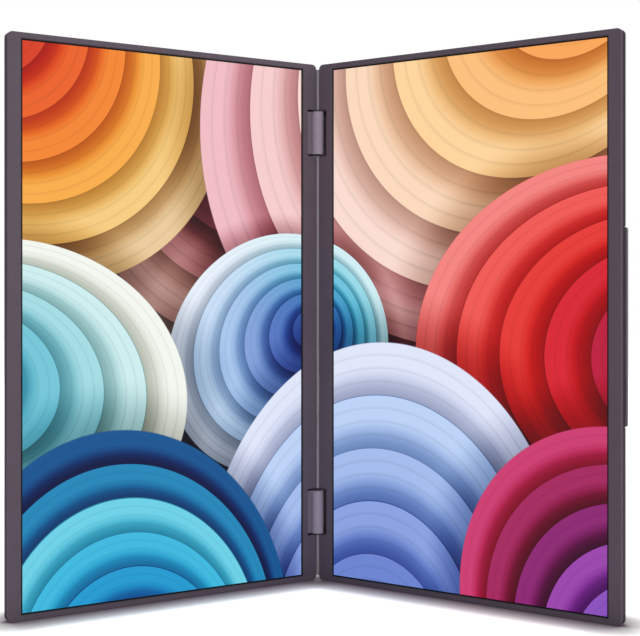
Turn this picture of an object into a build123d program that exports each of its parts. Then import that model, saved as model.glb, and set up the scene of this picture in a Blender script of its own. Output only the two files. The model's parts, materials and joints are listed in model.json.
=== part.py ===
from build123d import *
import os
from collections import namedtuple
from math import cos, hypot, pi, radians, sin, tan

os.makedirs("parts", exist_ok=True)

# A dual portable monitor, standing like an open book on its short edges.
# Millimetres. X is to the viewer's right, Y away from the viewer, Z up.
# The origin lies at the middle of the footprint, on the desk.
# On a panel, u runs outwards from the fold axis, z up, and depth back from the bezel's face.

# Picture and borders
picture_w = 193.6
picture_h = 344.2
inner_border = 12.3  # from the fold axis to the picture
outer_border = 9.3
end_border = 4.7

# Panel casing
panel_depth = 8.0
edge_gap = 0.65  # from the fold axis to each panel's inner edge
corner_r = 3.2
rear_edge_r = 1.5
wall_t = 1.2
floor_t = 1.0
fold_angle = 115.3  # between the two pictures, as the monitor stands
axis_rise = 0.4  # the fold axis lies this far in front of the bezels

# Clearances
seat_gap = 0.15  # between pieces that drop into each other
running_gap = 0.05  # round a turning pin
slide_gap = 0.1  # between pieces that slide past each other

# Front bezel
bezel_t = 1.0
bezel_edge_r = 0.5
window_margin = 0.9  # from the picture to the bezel's window
window_chamfer = 0.4
lip_t = 0.5
lip_depth = 1.6

# Display layers, front to back
polariser_t = 0.2
polariser_margin = 1.5
filter_glass_t = 0.4
cell_margin = 2.2  # from the picture to the edge of the glass
bond_ledge = 4.0  # the rear glass goes this far past the front one
tft_glass_t = 0.4
films_t = 0.4
guide_t = 0.6
reflector_t = 0.2
tray_t = 0.3
tray_wall_t = 0.4
tray_wall_drop = 0.2  # from the bezel's back to the top of the tray's wall

# Driver board on the back of each tray, and its flexes
driver_inset = 6.6  # from the tray's outer edge
driver_w = 14.0
driver_low_z = 30.0
driver_main_gap = 4.0  # from the driver board's upper end to the main board
board_t = 0.8
driver_chip_t = 1.0
driver_chip_w = 5.0
driver_chip_len = 14.0
driver_chip_rows = (24.0, 60.0)  # below the stand's pocket
driver_socket_gap = 6.0  # above the stand's pocket
driver_socket_w = 12.0
driver_socket_len = 20.0
flex_t = 0.12
flex_w = 22.0
flex_count = 4
flex_end_gap = 11.0  # from a driver board's end to its first flex
flex_land = 3.0  # length of a flex that lies on the glass

# Hinges
hinge_centre = 47.0  # from a panel's end to the middle of its hinge
barrel_r = 4.1
barrel_len = 29.0
barrel_hollow_r = 2.0
notch_wall_t = 1.0
notch_gap = 0.4  # from a barrel to the cover's wall behind it
web_reach = 7.5  # from the fold axis
web_t = 2.2
upright_t = 1.6
foot_reach = 34.0
foot_t = 0.9
foot_lift = 0.9  # from the cover's floor to the foot
bush_r = 2.9
bush_len = 8.0
pin_r = 1.8
pin_short = 0.4  # a pin ends this far inside its bush
pin_bore_r = 1.05  # of the hollow pin that the link cable passes
bracket_t = 0.8
bracket_u = 7.1
bracket_drop = 0.2  # from the bezel's back to the upstand
ear_gap = 0.2
ear_r = 3.2
ear_shoulder = 2.2
foot_screw_inset = 4.0  # from the foot's far end
foot_screw_pitch = 10.0
foot_screw_end = 5.5  # from each of the foot's sides

# Strip on the left panel's inner edge, which closes the gap along the fold
strip_gap = 0.16  # from the strip's bead to the right bezel, at every angle
strip_tail_t = 0.6
strip_tail_len = 1.6  # of the tail that lies on the left cover
strip_end_gap = 0.3  # from the strip's ends to the notches and the corners

# Screws
screw_r = 0.95
screw_head_r = 1.7
screw_head_t = 0.6
screw_bite = 0.6  # into the cover's floor
screw_hole_gap = 0.15
boss_r = 2.4

# Posts that carry the tray
post_r = 2.5
post_foot_gap = 16.0  # from a hinge's foot to the first post
post_pitch_u = 50.0
post_first_z = 80.0
post_pitch_z = 70.0
post_rows = 3
left_post_columns = 3
right_post_columns = 2

# Link cable through the upper hinge
cable_r = 0.6
cable_slot_w = 2.0
cable_slot_past = 0.6  # past the web's edge
ribbon_cable_t = 0.3
ribbon_cable_w = 1.8
ribbon_disc_r = 2.4
ribbon_tray_gap = 0.3

# Main board, on the right
main_foot_gap = 6.0  # from a hinge's foot to the board
main_side_gap = 9.0  # from the cover's outer wall to the board
main_len = 61.5
main_end_gap = 2.9  # from the cover's end wall to the board
main_lift = 0.3
main_screw_inset_u = 6.0
main_screw_inset_z = 12.0
main_chips = (  # from the board's inner lower corner, then width, length and height
    (30.0, 18.0, 14.0, 14.0, 1.4),
    (64.0, 20.0, 9.0, 9.0, 1.0),
    (96.0, 30.0, 12.0, 8.0, 1.2),
)
coil_first = (80.0, 12.0)  # from the same corner
coil_w = 5.0
coil_h = 1.8
coil_count = 3
coil_pitch = 8.0
link_socket_w = 8.0
link_socket_len = 12.0
link_socket_t = 1.9
screen_socket_len = 6.0
screen_socket_t = 1.0
screen_ribbon_t = 0.2
screen_ribbon_w = 10.0
ribbon_flat = 1.5  # length that runs level at each end of the ribbon

# Sockets on the right panel's upper end
port_floor_gap = 0.12  # from the tallest socket to the cover's floor
port_proud_gap = 0.2  # from the panel's end to a socket's mouth
shell_t = 0.3
usb_places = (20.0, 45.0)  # from the main board's inner side
usb_w = 8.94
usb_h = 3.16
usb_len = 7.3
usb_tongue_w = 6.7
usb_tongue_t = 0.7
usb_tongue_len = 4.6
hdmi_place = 72.0
hdmi_w = 11.2
hdmi_h = 3.2
hdmi_len = 7.5
hdmi_step = 1.0
hdmi_foot_w = 8.2
hdmi_tongue_w = 7.4
hdmi_tongue_t = 0.8
hdmi_tongue_len = 4.4

# Keys on the right panel's upper end
key_places = {"power_key": 57.0, "menu_up_key": 39.0, "menu_down_key": 25.0}  # from the board's outer side
key_w = 10.0
key_h = 2.2
key_tray_gap = 0.3  # from a key's flange to the tray's back
key_proud = 0.55
key_travel = 0.4
key_flange_t = 0.8
key_flange_margin = 0.3
key_stem_w = 2.0
key_edge_r = 0.3
switch_w = 6.0
switch_len = 3.4
switch_h = 1.6
switch_inset = 0.4  # from the board's end
plunger_w = 2.0
plunger_h = 1.0
plunger_len = 0.9

# Stand, folded into the right back cover
stand_len = 118.7
stand_w = 95.0  # from the stand's pivot to its free edge
stand_t = 1.4
stand_flush = 0.1  # from the cover's back to the stand's back
stand_lip = 1.3  # of the stand past the panel's outer edge
stand_corner_r = 1.5
stand_edge_r = 0.3
stand_end_gap = 0.5
pocket_root_gap = 0.8
pivot_inset = 0.1  # from the stand's front to its pivot
pivot_barrel_r = 1.0
pivot_pin_r = 0.6
pivot_pin_bite = 5.0
pivot_bush_r = 1.0
pivot_bush_len = 4.0
pivot_block_w = 7.0
pivot_block_len = 6.0
stand_foot_inset = 4.0
stand_foot_w = 7.0
stand_foot_len = 96.0
stand_foot_t = 0.8
stand_foot_gap = 0.3
stand_foot_corner_r = 2.0

# Rubber feet on both backs
foot_pad_r = 5.0
foot_pad_t = 0.6
foot_pad_inset_u = 22.0
foot_pad_inset_z = 18.0

# Worked out from the sizes above
left, right = -1, 1
side_name = {left: "left", right: "right"}
notch_reach = {left: web_reach + slide_gap, right: bracket_u - slide_gap}
tilt = radians((180 - fold_angle) / 2)
reach = inner_border + picture_w + outer_border
height = picture_h + 2 * end_border
mid_z = height / 2

left_end = (reach - rear_edge_r) * cos(tilt) + rear_edge_r
left_end += (panel_depth - rear_edge_r + axis_rise) * sin(tilt)
right_end = (reach + stand_lip) * cos(tilt)  # the stand's free edge
right_end += (panel_depth - stand_flush + axis_rise) * sin(tilt)
front_end = (reach - bezel_edge_r) * sin(tilt) + bezel_edge_r
front_end -= (bezel_edge_r + axis_rise) * cos(tilt)
rear_end = rear_edge_r - (edge_gap + rear_edge_r) * sin(tilt)
rear_end += (panel_depth - rear_edge_r + axis_rise) * cos(tilt)
axis_x = (left_end - right_end) / 2
axis_y = (front_end - rear_end) / 2

Area = namedtuple("Area", "u0 u1 z0 z1")


def grown(area, by):
    """An area with each side moved outwards by the same amount."""
    return Area(area.u0 - by, area.u1 + by, area.z0 - by, area.z1 + by)


panel = Area(edge_gap, reach, 0, height)
inside = grown(panel, -wall_t)
picture = Area(inner_border, inner_border + picture_w, end_border, end_border + picture_h)
window = grown(picture, window_margin)
polariser = grown(picture, polariser_margin)
cell = grown(picture, cell_margin)
rear_glass = cell._replace(u1=cell.u1 + bond_ledge)
tray_inside = grown(rear_glass, slide_gap)
tray = grown(tray_inside, tray_wall_t)
led_bar = Area(cell.u1 + slide_gap, rear_glass.u1 - slide_gap, cell.z0, cell.z1)
main_end = inside.z1 - main_end_gap
main_area = Area(foot_reach + main_foot_gap, inside.u1 - main_side_gap, main_end - main_len, main_end)
driver_u = tray.u1 - driver_inset - driver_w
driver = Area(driver_u, driver_u + driver_w, driver_low_z, main_area.z0 - driver_main_gap)
usb_u = [main_area.u0 + place for place in usb_places]
hdmi_u = main_area.u0 + hdmi_place
key_u = {name: main_area.u1 - place for name, place in key_places.items()}

filter_depth = bezel_t + polariser_t
tft_depth = filter_depth + filter_glass_t
films_depth = tft_depth + tft_glass_t
guide_depth = films_depth + films_t
reflector_depth = guide_depth + guide_t
tray_depth = reflector_depth + reflector_t
tray_back = tray_depth + tray_t
floor_depth = panel_depth - floor_t
foot_back = floor_depth - foot_lift
foot_front = foot_back - foot_t
main_back = floor_depth - main_lift
main_front = main_back - board_t
driver_back = tray_back + board_t
ear_out = barrel_len / 2 + ear_gap + bracket_t
ribbon_z = ear_out  # the flat cable lies on the upper hinge's upper ear
notch_half = ribbon_z + ribbon_cable_t + slide_gap
notch_depth = barrel_r - axis_rise + notch_gap
cable_y = (tray_back + foot_front) / 2 + axis_rise
ribbon_y = tray_back + ribbon_tray_gap + ribbon_cable_w / 2 + axis_rise
port_y = floor_depth - port_floor_gap - hdmi_h / 2 + axis_rise
key_y = tray_back + key_tray_gap + key_flange_margin + key_h / 2 + axis_rise
lower_hinge_z = hinge_centre
upper_hinge_z = height - hinge_centre
stand_half = stand_len / 2
stand_front = panel_depth - stand_flush - stand_t
pocket_half = stand_half + stand_end_gap
pocket_depth = stand_front - stand_foot_t - stand_foot_gap
stand_end = reach + stand_lip
stand_u = stand_end - stand_w
pivot_y = stand_front + pivot_inset + axis_rise
pocket_root = stand_u - pivot_barrel_r - pocket_root_gap
pocket = Area(pocket_root, stand_end, mid_z - pocket_half, mid_z + pocket_half)
pocket_skin = grown(pocket, wall_t)._replace(u1=inside.u1)
socket_z0 = pocket_skin.z1 + driver_socket_gap
driver_socket = Area(driver_u, driver_u + driver_socket_w, socket_z0, socket_z0 + driver_socket_len)
bead_r = hypot(edge_gap + bezel_edge_r, axis_rise + bezel_edge_r) - bezel_edge_r - strip_gap


def turn(side):
    """How far a panel is turned about the vertical from facing straight ahead."""
    return -side * tilt


def face(side, depth):
    """The plane parallel to a picture at a depth, its x along side * u and its y up."""
    angle = turn(side)
    back = axis_rise + depth
    origin = (axis_x - back * sin(angle), axis_y + back * cos(angle), 0)
    return Plane(origin=origin, x_dir=(cos(angle), sin(angle), 0), z_dir=(sin(angle), -cos(angle), 0))


def level(side, z):
    """The level plane at a height, its x along side * u and its y along depth + axis_rise."""
    angle = turn(side)
    return Plane(origin=(axis_x, axis_y, z), x_dir=(cos(angle), sin(angle), 0), z_dir=(0, 0, 1))


def upright(side, u):
    """The plane square to u, its x along depth + axis_rise and its y up."""
    angle = turn(side)
    origin = (axis_x + side * u * cos(angle), axis_y + side * u * sin(angle), 0)
    return Plane(origin=origin, x_dir=(-sin(angle), cos(angle), 0), z_dir=(cos(angle), sin(angle), 0))


def patch(side, area, corner=0.0):
    """Draws an area of a panel in a sketch on one of its face planes."""
    width = area.u1 - area.u0
    length = area.z1 - area.z0
    with Locations((side * (area.u0 + area.u1) / 2, (area.z0 + area.z1) / 2)):
        if corner > 0:
            RectangleRounded(width, length, corner)
        else:
            Rectangle(width, length)


def finish(builder, name):
    """Labels a finished piece and writes its file."""
    builder.part.label = name
    export_step(builder.part, f"parts/{name}.step")


def screw_spots(side, hinge_z):
    """The middles of a hinge foot's screws in a sketch on a face plane."""
    far = foot_reach - foot_screw_inset
    half = barrel_len / 2 - foot_screw_end
    return [(side * u, hinge_z + end * half) for u in (far - foot_screw_pitch, far) for end in (-1, 1)]


def main_screw_spots():
    """The middles of the main board's screws in a sketch on a face plane."""
    spots = []
    for u in (main_area.u0 + main_screw_inset_u, main_area.u1 - main_screw_inset_u):
        spots.append((u, main_area.z0 + main_screw_inset_z))
        spots.append((u, main_area.z1 - main_screw_inset_z))
    return spots


def notch_area(side, hinge_z, spare=0.0):
    """The area that a hinge's notch takes from the inner edge of a panel."""
    half = notch_half + spare
    return Area(0, notch_reach[side] + spare, hinge_z - half, hinge_z + half)


def back_cover(side):
    """The rear shell, with notches, screw bosses and posts; the right one has the stand's pocket."""
    columns = left_post_columns if side == left else right_post_columns
    post_u = foot_reach + post_foot_gap + (columns - 1) * post_pitch_u / 2
    post_z = post_first_z + (post_rows - 1) * post_pitch_z / 2
    with BuildPart() as cover:
        with BuildSketch(face(side, panel_depth)):
            patch(side, panel, corner_r)
        extrude(amount=panel_depth - bezel_t)
        ahead = Axis(face(side, 0).origin, face(side, 0).z_dir)
        fillet(cover.faces().sort_by(ahead)[0].edges(), rear_edge_r)
        with BuildSketch(face(side, bezel_t)):
            patch(side, inside, corner_r - wall_t)
        extrude(amount=bezel_t - floor_depth, mode=Mode.SUBTRACT)
        with BuildSketch(face(side, floor_depth)):
            with Locations((side * post_u, post_z)):
                with GridLocations(post_pitch_u, post_pitch_z, columns, post_rows):
                    Circle(post_r)
        extrude(amount=floor_depth - tray_back)
        for hinge_z in (lower_hinge_z, upper_hinge_z):
            with BuildSketch(face(side, floor_depth)):
                with Locations(*screw_spots(side, hinge_z)):
                    Circle(boss_r)
            extrude(amount=foot_lift)
            for end in (-1, 1):
                wall_z = hinge_z + end * (notch_half + notch_wall_t / 2)
                low = wall_z - notch_wall_t / 2
                with BuildSketch(face(side, floor_depth)):
                    patch(side, Area(inside.u0, tray.u0 - seat_gap, low, low + notch_wall_t))
                extrude(amount=floor_depth - bezel_t)
            with BuildSketch(face(side, bezel_t)):
                patch(side, notch_area(side, hinge_z)._replace(u1=inside.u0))
            extrude(amount=bezel_t - notch_depth, mode=Mode.SUBTRACT)
            with BuildSketch(face(side, foot_back)):
                with Locations(*screw_spots(side, hinge_z)):
                    Circle(screw_r)
            extrude(amount=-foot_lift - screw_bite, mode=Mode.SUBTRACT)
        if side == right:
            with BuildSketch(face(side, floor_depth)):
                patch(side, pocket_skin)
                for end in (-1, 1):
                    with Locations((stand_u, mid_z + end * (pocket_half + pivot_block_len / 2))):
                        Rectangle(pivot_block_w, pivot_block_len)
            extrude(amount=floor_depth - driver_back - slide_gap)
            with BuildSketch(face(side, pocket_depth)):
                patch(side, pocket)
            extrude(amount=pocket_depth - panel_depth, mode=Mode.SUBTRACT)
            for end in (-1, 1):
                with BuildSketch(level(side, mid_z + end * pocket_half)):
                    with Locations((stand_u, pivot_y)):
                        Circle(pivot_bush_r)
                extrude(amount=end * pivot_bush_len, mode=Mode.SUBTRACT)
            with BuildSketch(face(side, floor_depth)):
                with Locations(*main_screw_spots()):
                    Circle(boss_r)
            extrude(amount=main_lift)
            with BuildSketch(face(side, main_back)):
                with Locations(*main_screw_spots()):
                    Circle(screw_r)
            extrude(amount=-main_lift - screw_bite, mode=Mode.SUBTRACT)
            with BuildSketch(level(side, height)):
                with Locations(*[(u, port_y) for u in usb_u]):
                    SlotOverall(usb_w + 2 * seat_gap, usb_h + 2 * seat_gap)
                hdmi_outline(seat_gap)
                with Locations(*[(u, key_y) for u in key_u.values()]):
                    SlotOverall(key_w + 2 * seat_gap, key_h + 2 * seat_gap)
            extrude(amount=-wall_t, mode=Mode.SUBTRACT)
    finish(cover, side_name[side] + "_back_cover")


def front_bezel(side):
    """The front frame, with its window, hinge notches and a lip that drops into the cover."""
    lip = grown(inside, -seat_gap)
    with BuildPart() as bezel:
        with BuildSketch(face(side, bezel_t)):
            patch(side, panel, corner_r)
        extrude(amount=bezel_t)
        ahead = Axis(face(side, 0).origin, face(side, 0).z_dir)
        fillet(bezel.faces().sort_by(ahead)[-1].edges(), bezel_edge_r)
        with BuildSketch(face(side, 0)):
            patch(side, window)
        extrude(amount=-bezel_t, mode=Mode.SUBTRACT)
        front = bezel.faces().sort_by(ahead)[-1]
        chamfer(front.inner_wires()[0].edges(), window_chamfer)
        with BuildSketch(face(side, bezel_t)):
            patch(side, lip, corner_r - wall_t - seat_gap)
            with BuildSketch(mode=Mode.SUBTRACT):
                patch(side, grown(lip, -lip_t))
        extrude(amount=-lip_depth)
        for hinge_z in (lower_hinge_z, upper_hinge_z):
            with BuildSketch(face(side, 0)):
                patch(side, notch_area(side, hinge_z))
            extrude(amount=-bezel_t, mode=Mode.SUBTRACT)
            with BuildSketch(face(side, bezel_t)):
                patch(side, Area(0, tray.u0, *notch_area(side, hinge_z, notch_wall_t + seat_gap)[2:]))
            extrude(amount=-lip_depth, mode=Mode.SUBTRACT)
    finish(bezel, side_name[side] + "_front_bezel")


def bezel_tape(side):
    """The ring of tape between the bezel and the front glass."""
    with BuildPart() as tape:
        with BuildSketch(face(side, bezel_t)):
            patch(side, cell)
            with BuildSketch(mode=Mode.SUBTRACT):
                patch(side, grown(polariser, slide_gap))
        extrude(amount=-polariser_t)
    finish(tape, side_name[side] + "_bezel_tape")


def display_layer(side, name, area, depth, thickness):
    """One flat layer of the display."""
    with BuildPart() as layer:
        with BuildSketch(face(side, depth)):
            patch(side, area)
        extrude(amount=-thickness)
    finish(layer, side_name[side] + "_" + name)


def lcd_tray(side):
    """The folded metal tray that holds the display layers."""
    rim = bezel_t + tray_wall_drop
    with BuildPart() as pan:
        with BuildSketch(face(side, rim)):
            patch(side, tray)
        extrude(amount=rim - tray_back)
        with BuildSketch(face(side, rim)):
            patch(side, tray_inside)
        extrude(amount=rim - tray_depth, mode=Mode.SUBTRACT)
        with BuildSketch(face(side, rim)):
            patch(side, Area(tray_inside.u1, tray.u1, tray_inside.z0, tray_inside.z1))
        extrude(amount=rim - tft_depth - slide_gap, mode=Mode.SUBTRACT)
    finish(pan, side_name[side] + "_lcd_tray")


def driver_board(side):
    """The strip board on the tray's back, with its chips and the socket for its cable."""
    chip_u = driver_u + driver_w / 2
    with BuildPart() as board:
        with BuildSketch(face(side, tray_back)):
            patch(side, driver)
        extrude(amount=-board_t)
        with BuildSketch(face(side, driver_back)):
            with Locations(*[(side * chip_u, pocket_skin.z0 - row) for row in driver_chip_rows]):
                Rectangle(driver_chip_w, driver_chip_len)
            patch(side, driver_socket)
        extrude(amount=-driver_chip_t)
    finish(board, side_name[side] + "_driver_board")


def driver_flexes(side):
    """The films that lead round the tray's edge from the rear glass to the driver board."""
    land = rear_glass.u1 - flex_land
    outer = tray.u1 + seat_gap + flex_t
    front = tft_depth - flex_t + axis_rise
    back = tray_back + slide_gap + axis_rise
    outline = [
        (land, front),
        (outer, front),
        (outer, back + flex_t),
        (driver.u1, back + flex_t),
        (driver.u1, back),
        (outer - flex_t, back),
        (outer - flex_t, front + flex_t),
        (land, front + flex_t),
    ]
    first = driver.z0 + flex_end_gap
    pitch = (driver.z1 - driver.z0 - 2 * flex_end_gap - flex_w) / (flex_count - 1)
    with BuildPart() as flexes:
        for step in range(flex_count):
            with BuildSketch(level(side, first + step * pitch)):
                with BuildLine():
                    Polyline([(side * u, y) for u, y in outline], close=True)
                make_face()
            extrude(amount=flex_w)
    finish(flexes, side_name[side] + "_driver_flexes")


def rear_feet(side):
    """The four round rubber feet on a panel's back."""
    pitch_u = reach - edge_gap - 2 * foot_pad_inset_u
    pitch_z = height - 2 * foot_pad_inset_z
    with BuildPart() as feet:
        with BuildSketch(face(side, panel_depth)):
            with Locations((side * (edge_gap + reach) / 2, mid_z)):
                with GridLocations(pitch_u, pitch_z, 2, 2):
                    Circle(foot_pad_r)
        extrude(amount=-foot_pad_t)
    finish(feet, side_name[side] + "_rear_feet")


def fold_strip():
    """The soft strip in three lengths: a bead on the fold axis and a tail on the left panel's side."""
    tail_end = axis_rise + bezel_t + strip_tail_len
    lower = grown(notch_area(left, lower_hinge_z), strip_end_gap)
    upper = grown(notch_area(left, upper_hinge_z), strip_end_gap)
    first = corner_r + strip_end_gap
    with BuildPart() as strip:
        for low, high in ((first, lower.z0), (lower.z1, upper.z0), (upper.z1, height - first)):
            with BuildSketch(level(left, low)):
                Circle(bead_r)
                with Locations((left * (edge_gap - strip_tail_t / 2), tail_end / 2)):
                    Rectangle(strip_tail_t, tail_end)
            extrude(amount=high - low)
    finish(strip, "fold_strip")


def hinge_knuckle(name, hinge_z, has_cable):
    """The casting on the left panel: barrel, web, upright and foot."""
    web = [
        (0, axis_rise),
        (web_reach, axis_rise),
        (web_reach, foot_front + axis_rise),
        (foot_reach, foot_front + axis_rise),
        (foot_reach, foot_back + axis_rise),
        (web_reach - upright_t, foot_back + axis_rise),
        (web_reach - upright_t, web_t + axis_rise),
        (0, web_t + axis_rise),
    ]
    low = hinge_z - barrel_len / 2
    slot_reach = hypot(web_reach, cable_y) + cable_slot_past
    with BuildPart() as knuckle:
        with BuildSketch(level(left, low)):
            Circle(barrel_r)
            with BuildLine():
                Polyline([(left * u, y) for u, y in web], close=True)
            make_face()
        extrude(amount=barrel_len)
        with BuildSketch(level(left, low)):
            Circle(barrel_hollow_r)
        extrude(amount=barrel_len, mode=Mode.SUBTRACT)
        for end in (-1, 1):
            with BuildSketch(level(left, hinge_z + end * barrel_len / 2)):
                Circle(bush_r)
            extrude(amount=-end * bush_len, mode=Mode.SUBTRACT)
        with BuildSketch(face(left, foot_front)):
            with Locations(*screw_spots(left, hinge_z)):
                Circle(screw_r + screw_hole_gap)
        extrude(amount=-foot_t, mode=Mode.SUBTRACT)
        if has_cable:
            with BuildSketch(cable_slot_plane()):
                with Locations((slot_reach / 2, hinge_z)):
                    Rectangle(slot_reach, barrel_len - 2 * bush_len)
            extrude(amount=cable_slot_w / 2, both=True, mode=Mode.SUBTRACT)
    finish(knuckle, name)


def hinge_bushes(name, hinge_z):
    """The two bushes that line the ends of a hinge's barrel."""
    with BuildPart() as bushes:
        for end in (-1, 1):
            with BuildSketch(level(left, hinge_z + end * barrel_len / 2)):
                Circle(bush_r)
                Circle(pin_r + running_gap, mode=Mode.SUBTRACT)
            extrude(amount=-end * bush_len)
    finish(bushes, name)


def hinge_bracket(name, hinge_z):
    """The sheet bracket on the right panel: foot, upstand and an ear at each end of the barrel."""
    front_y = bezel_t + bracket_drop + axis_rise
    back_y = foot_back + axis_rise
    sheet = [
        (bracket_u, front_y),
        (bracket_u + bracket_t, front_y),
        (bracket_u + bracket_t, foot_front + axis_rise),
        (foot_reach, foot_front + axis_rise),
        (foot_reach, back_y),
        (bracket_u, back_y),
    ]
    arm = [
        (0, -ear_shoulder),
        (bracket_u, front_y),
        (bracket_u + bracket_t, front_y),
        (bracket_u + bracket_t, back_y),
        (bracket_u - bracket_t, back_y),
        (0, ear_r),
    ]
    with BuildPart() as bracket:
        with BuildSketch(level(right, hinge_z - ear_out)):
            with BuildLine():
                Polyline(sheet, close=True)
            make_face()
        extrude(amount=2 * ear_out)
        with BuildSketch(level(right, hinge_z - ear_out), level(right, hinge_z + ear_out - bracket_t)):
            Circle(ear_r)
            with BuildLine():
                Polyline(arm, close=True)
            make_face()
            Circle(pin_r, mode=Mode.SUBTRACT)
        extrude(amount=bracket_t)
        with BuildSketch(face(right, foot_front)):
            with Locations(*screw_spots(right, hinge_z)):
                Circle(screw_r + screw_hole_gap)
        extrude(amount=-foot_t, mode=Mode.SUBTRACT)
    finish(bracket, name)


def hinge_pins(name, hinge_z, has_cable):
    """The two pins, pressed flush into the ears; the upper one of the upper hinge is hollow."""
    with BuildPart() as pins:
        for end in (-1, 1):
            with BuildSketch(level(right, hinge_z + end * ear_out)):
                Circle(pin_r)
            extrude(amount=-end * (ear_out - barrel_len / 2 + bush_len - pin_short))
        if has_cable:
            with BuildSketch(level(right, hinge_z)):
                Circle(pin_bore_r)
            extrude(amount=ribbon_z, mode=Mode.SUBTRACT)
    finish(pins, name)


def hinge_screws(side):
    """The screws that hold both hinges' feet to a cover."""
    with BuildPart() as screws:
        for hinge_z in (lower_hinge_z, upper_hinge_z):
            with BuildSketch(face(side, foot_front)):
                with Locations(*screw_spots(side, hinge_z)):
                    Circle(screw_head_r)
            extrude(amount=screw_head_t)
            with BuildSketch(face(side, foot_front)):
                with Locations(*screw_spots(side, hinge_z)):
                    Circle(screw_r)
            extrude(amount=-foot_t - foot_lift - screw_bite)
    finish(screws, "hinge_screws_" + side_name[side])


# Route of the link cable's round part, as u, depth + axis_rise and height
cable_end_z = (driver_socket.z0 + driver_socket.z1) / 2
cable_route = [
    (0, 0, upper_hinge_z + ribbon_z - slide_gap),
    (0, 0, upper_hinge_z + 3.4),
    (8.0, cable_y, upper_hinge_z - 5.0),
    (24.0, cable_y, upper_hinge_z - 22.0),
    (58.0, cable_y, upper_hinge_z - 44.0),
    (112.0, cable_y, cable_end_z - 7.0),
    (driver_u - 28.0, cable_y, cable_end_z),
    (driver_u, cable_y, cable_end_z),
]
cable_hinge_radii = [8.0, 12.0]  # of the two bends inside the hinge


def cable_slot_plane():
    """The upright plane through the fold axis that the link cable bends in."""
    u, y, _ = cable_route[2]
    out = level(left, 0).x_dir * (left * u) + level(left, 0).y_dir * y
    return Plane(origin=(axis_x, axis_y, 0), x_dir=out, z_dir=out.cross(Vector(0, 0, 1)))


def bend_radii(points):
    """For each inner point, 0.45 of its shorter run over the tangent of half its turn."""
    radii = []
    for before, here, after in zip(points, points[1:], points[2:]):
        run_in = here - before
        run_out = after - here
        shorter = min(run_in.length, run_out.length)
        radii.append(0.45 * shorter / tan(radians(run_in.get_angle(run_out) / 2)))
    return radii


def link_cable_left():
    """The round cable from the fold axis, through the hinge, to the left driver board."""
    origin = level(left, 0)
    points = []
    for u, y, z in cable_route:
        points.append(origin.origin + origin.x_dir * (left * u) + origin.y_dir * y + Vector(0, 0, z))
    radii = cable_hinge_radii + bend_radii(points)[len(cable_hinge_radii):]
    with BuildPart() as cable:
        with BuildLine() as route:
            FilletPolyline(*points, radius=radii)
        with BuildSketch(Plane(origin=route.line @ 0, z_dir=route.line % 0)):
            Circle(cable_r)
        sweep()
    length = sum(edge.length for edge in route.edges())
    share = cable.part.volume / (pi * cable_r**2 * length)
    print("link cable radii:", [round(radius, 1) for radius in radii], "volume share:", round(share, 4))
    finish(cable, "link_cable_left")


def link_cable_right():
    """The flat cable that stands on edge from the fold axis to the main board."""
    corner_u = bracket_u + bracket_t + seat_gap
    with BuildPart() as cable:
        with BuildSketch(level(right, upper_hinge_z + ribbon_z)):
            Circle(ribbon_disc_r)
            with BuildLine():
                Polyline((0, 0), (corner_u, ribbon_y), (main_area.u0, ribbon_y))
            trace(line_width=ribbon_cable_w)
        extrude(amount=ribbon_cable_t)
    finish(cable, "link_cable_right")


def display_ribbon():
    """The ribbon from the main board to the right driver board."""
    low = (driver_back + driver_chip_t / 2 + axis_rise, driver_socket.z1)
    high = (main_front - screen_socket_t / 2 + axis_rise, main_area.z0)
    with BuildPart() as ribbon:
        with BuildSketch(upright(right, driver_u + (driver_socket_w - screen_ribbon_w) / 2)):
            with BuildLine():
                Polyline(low, (low[0], low[1] + ribbon_flat), (high[0], high[1] - ribbon_flat), high)
            trace(line_width=screen_ribbon_t)
        extrude(amount=screen_ribbon_w)
    finish(ribbon, "display_ribbon")


def main_board():
    """The board with the sockets' cut-outs, its chips and the two sockets for its cables."""
    mouth = height - port_proud_gap
    cable_z = upper_hinge_z + ribbon_z + ribbon_cable_t / 2
    with BuildPart() as board:
        with BuildSketch(face(right, main_front)):
            patch(right, main_area)
        extrude(amount=-board_t)
        with BuildSketch(face(right, main_front)):
            for u, width, length in [(u, usb_w, usb_len) for u in usb_u] + [(hdmi_u, hdmi_w, hdmi_len)]:
                half = width / 2 + slide_gap
                patch(right, Area(u - half, u + half, mouth - length - slide_gap, height))
            with Locations(*main_screw_spots()):
                Circle(screw_r + screw_hole_gap)
        extrude(amount=-board_t, mode=Mode.SUBTRACT)
        for u, z, width, length, tall in main_chips:
            with BuildSketch(face(right, main_front)):
                with Locations((main_area.u0 + u, main_area.z0 + z)):
                    Rectangle(width, length)
            extrude(amount=tall)
        coil_u, coil_z = coil_first
        with BuildSketch(face(right, main_front)):
            for step in range(coil_count):
                with Locations((main_area.u0 + coil_u + step * coil_pitch, main_area.z0 + coil_z)):
                    Rectangle(coil_w, coil_w)
        extrude(amount=coil_h)
        with BuildSketch(face(right, main_front)):
            with Locations((main_area.u0 + link_socket_w / 2, cable_z)):
                Rectangle(link_socket_w, link_socket_len)
        extrude(amount=link_socket_t)
        with BuildSketch(face(right, main_front)):
            patch(right, driver_socket._replace(z0=main_area.z0, z1=main_area.z0 + screen_socket_len))
        extrude(amount=screen_socket_t)
    finish(board, "main_board")


def main_board_screws():
    """The screws that hold the main board to the right cover."""
    with BuildPart() as screws:
        with BuildSketch(face(right, main_front)):
            with Locations(*main_screw_spots()):
                Circle(screw_head_r)
        extrude(amount=screw_head_t)
        with BuildSketch(face(right, main_front)):
            with Locations(*main_screw_spots()):
                Circle(screw_r)
        extrude(amount=-board_t - main_lift - screw_bite)
    finish(screws, "main_board_screws")


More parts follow.
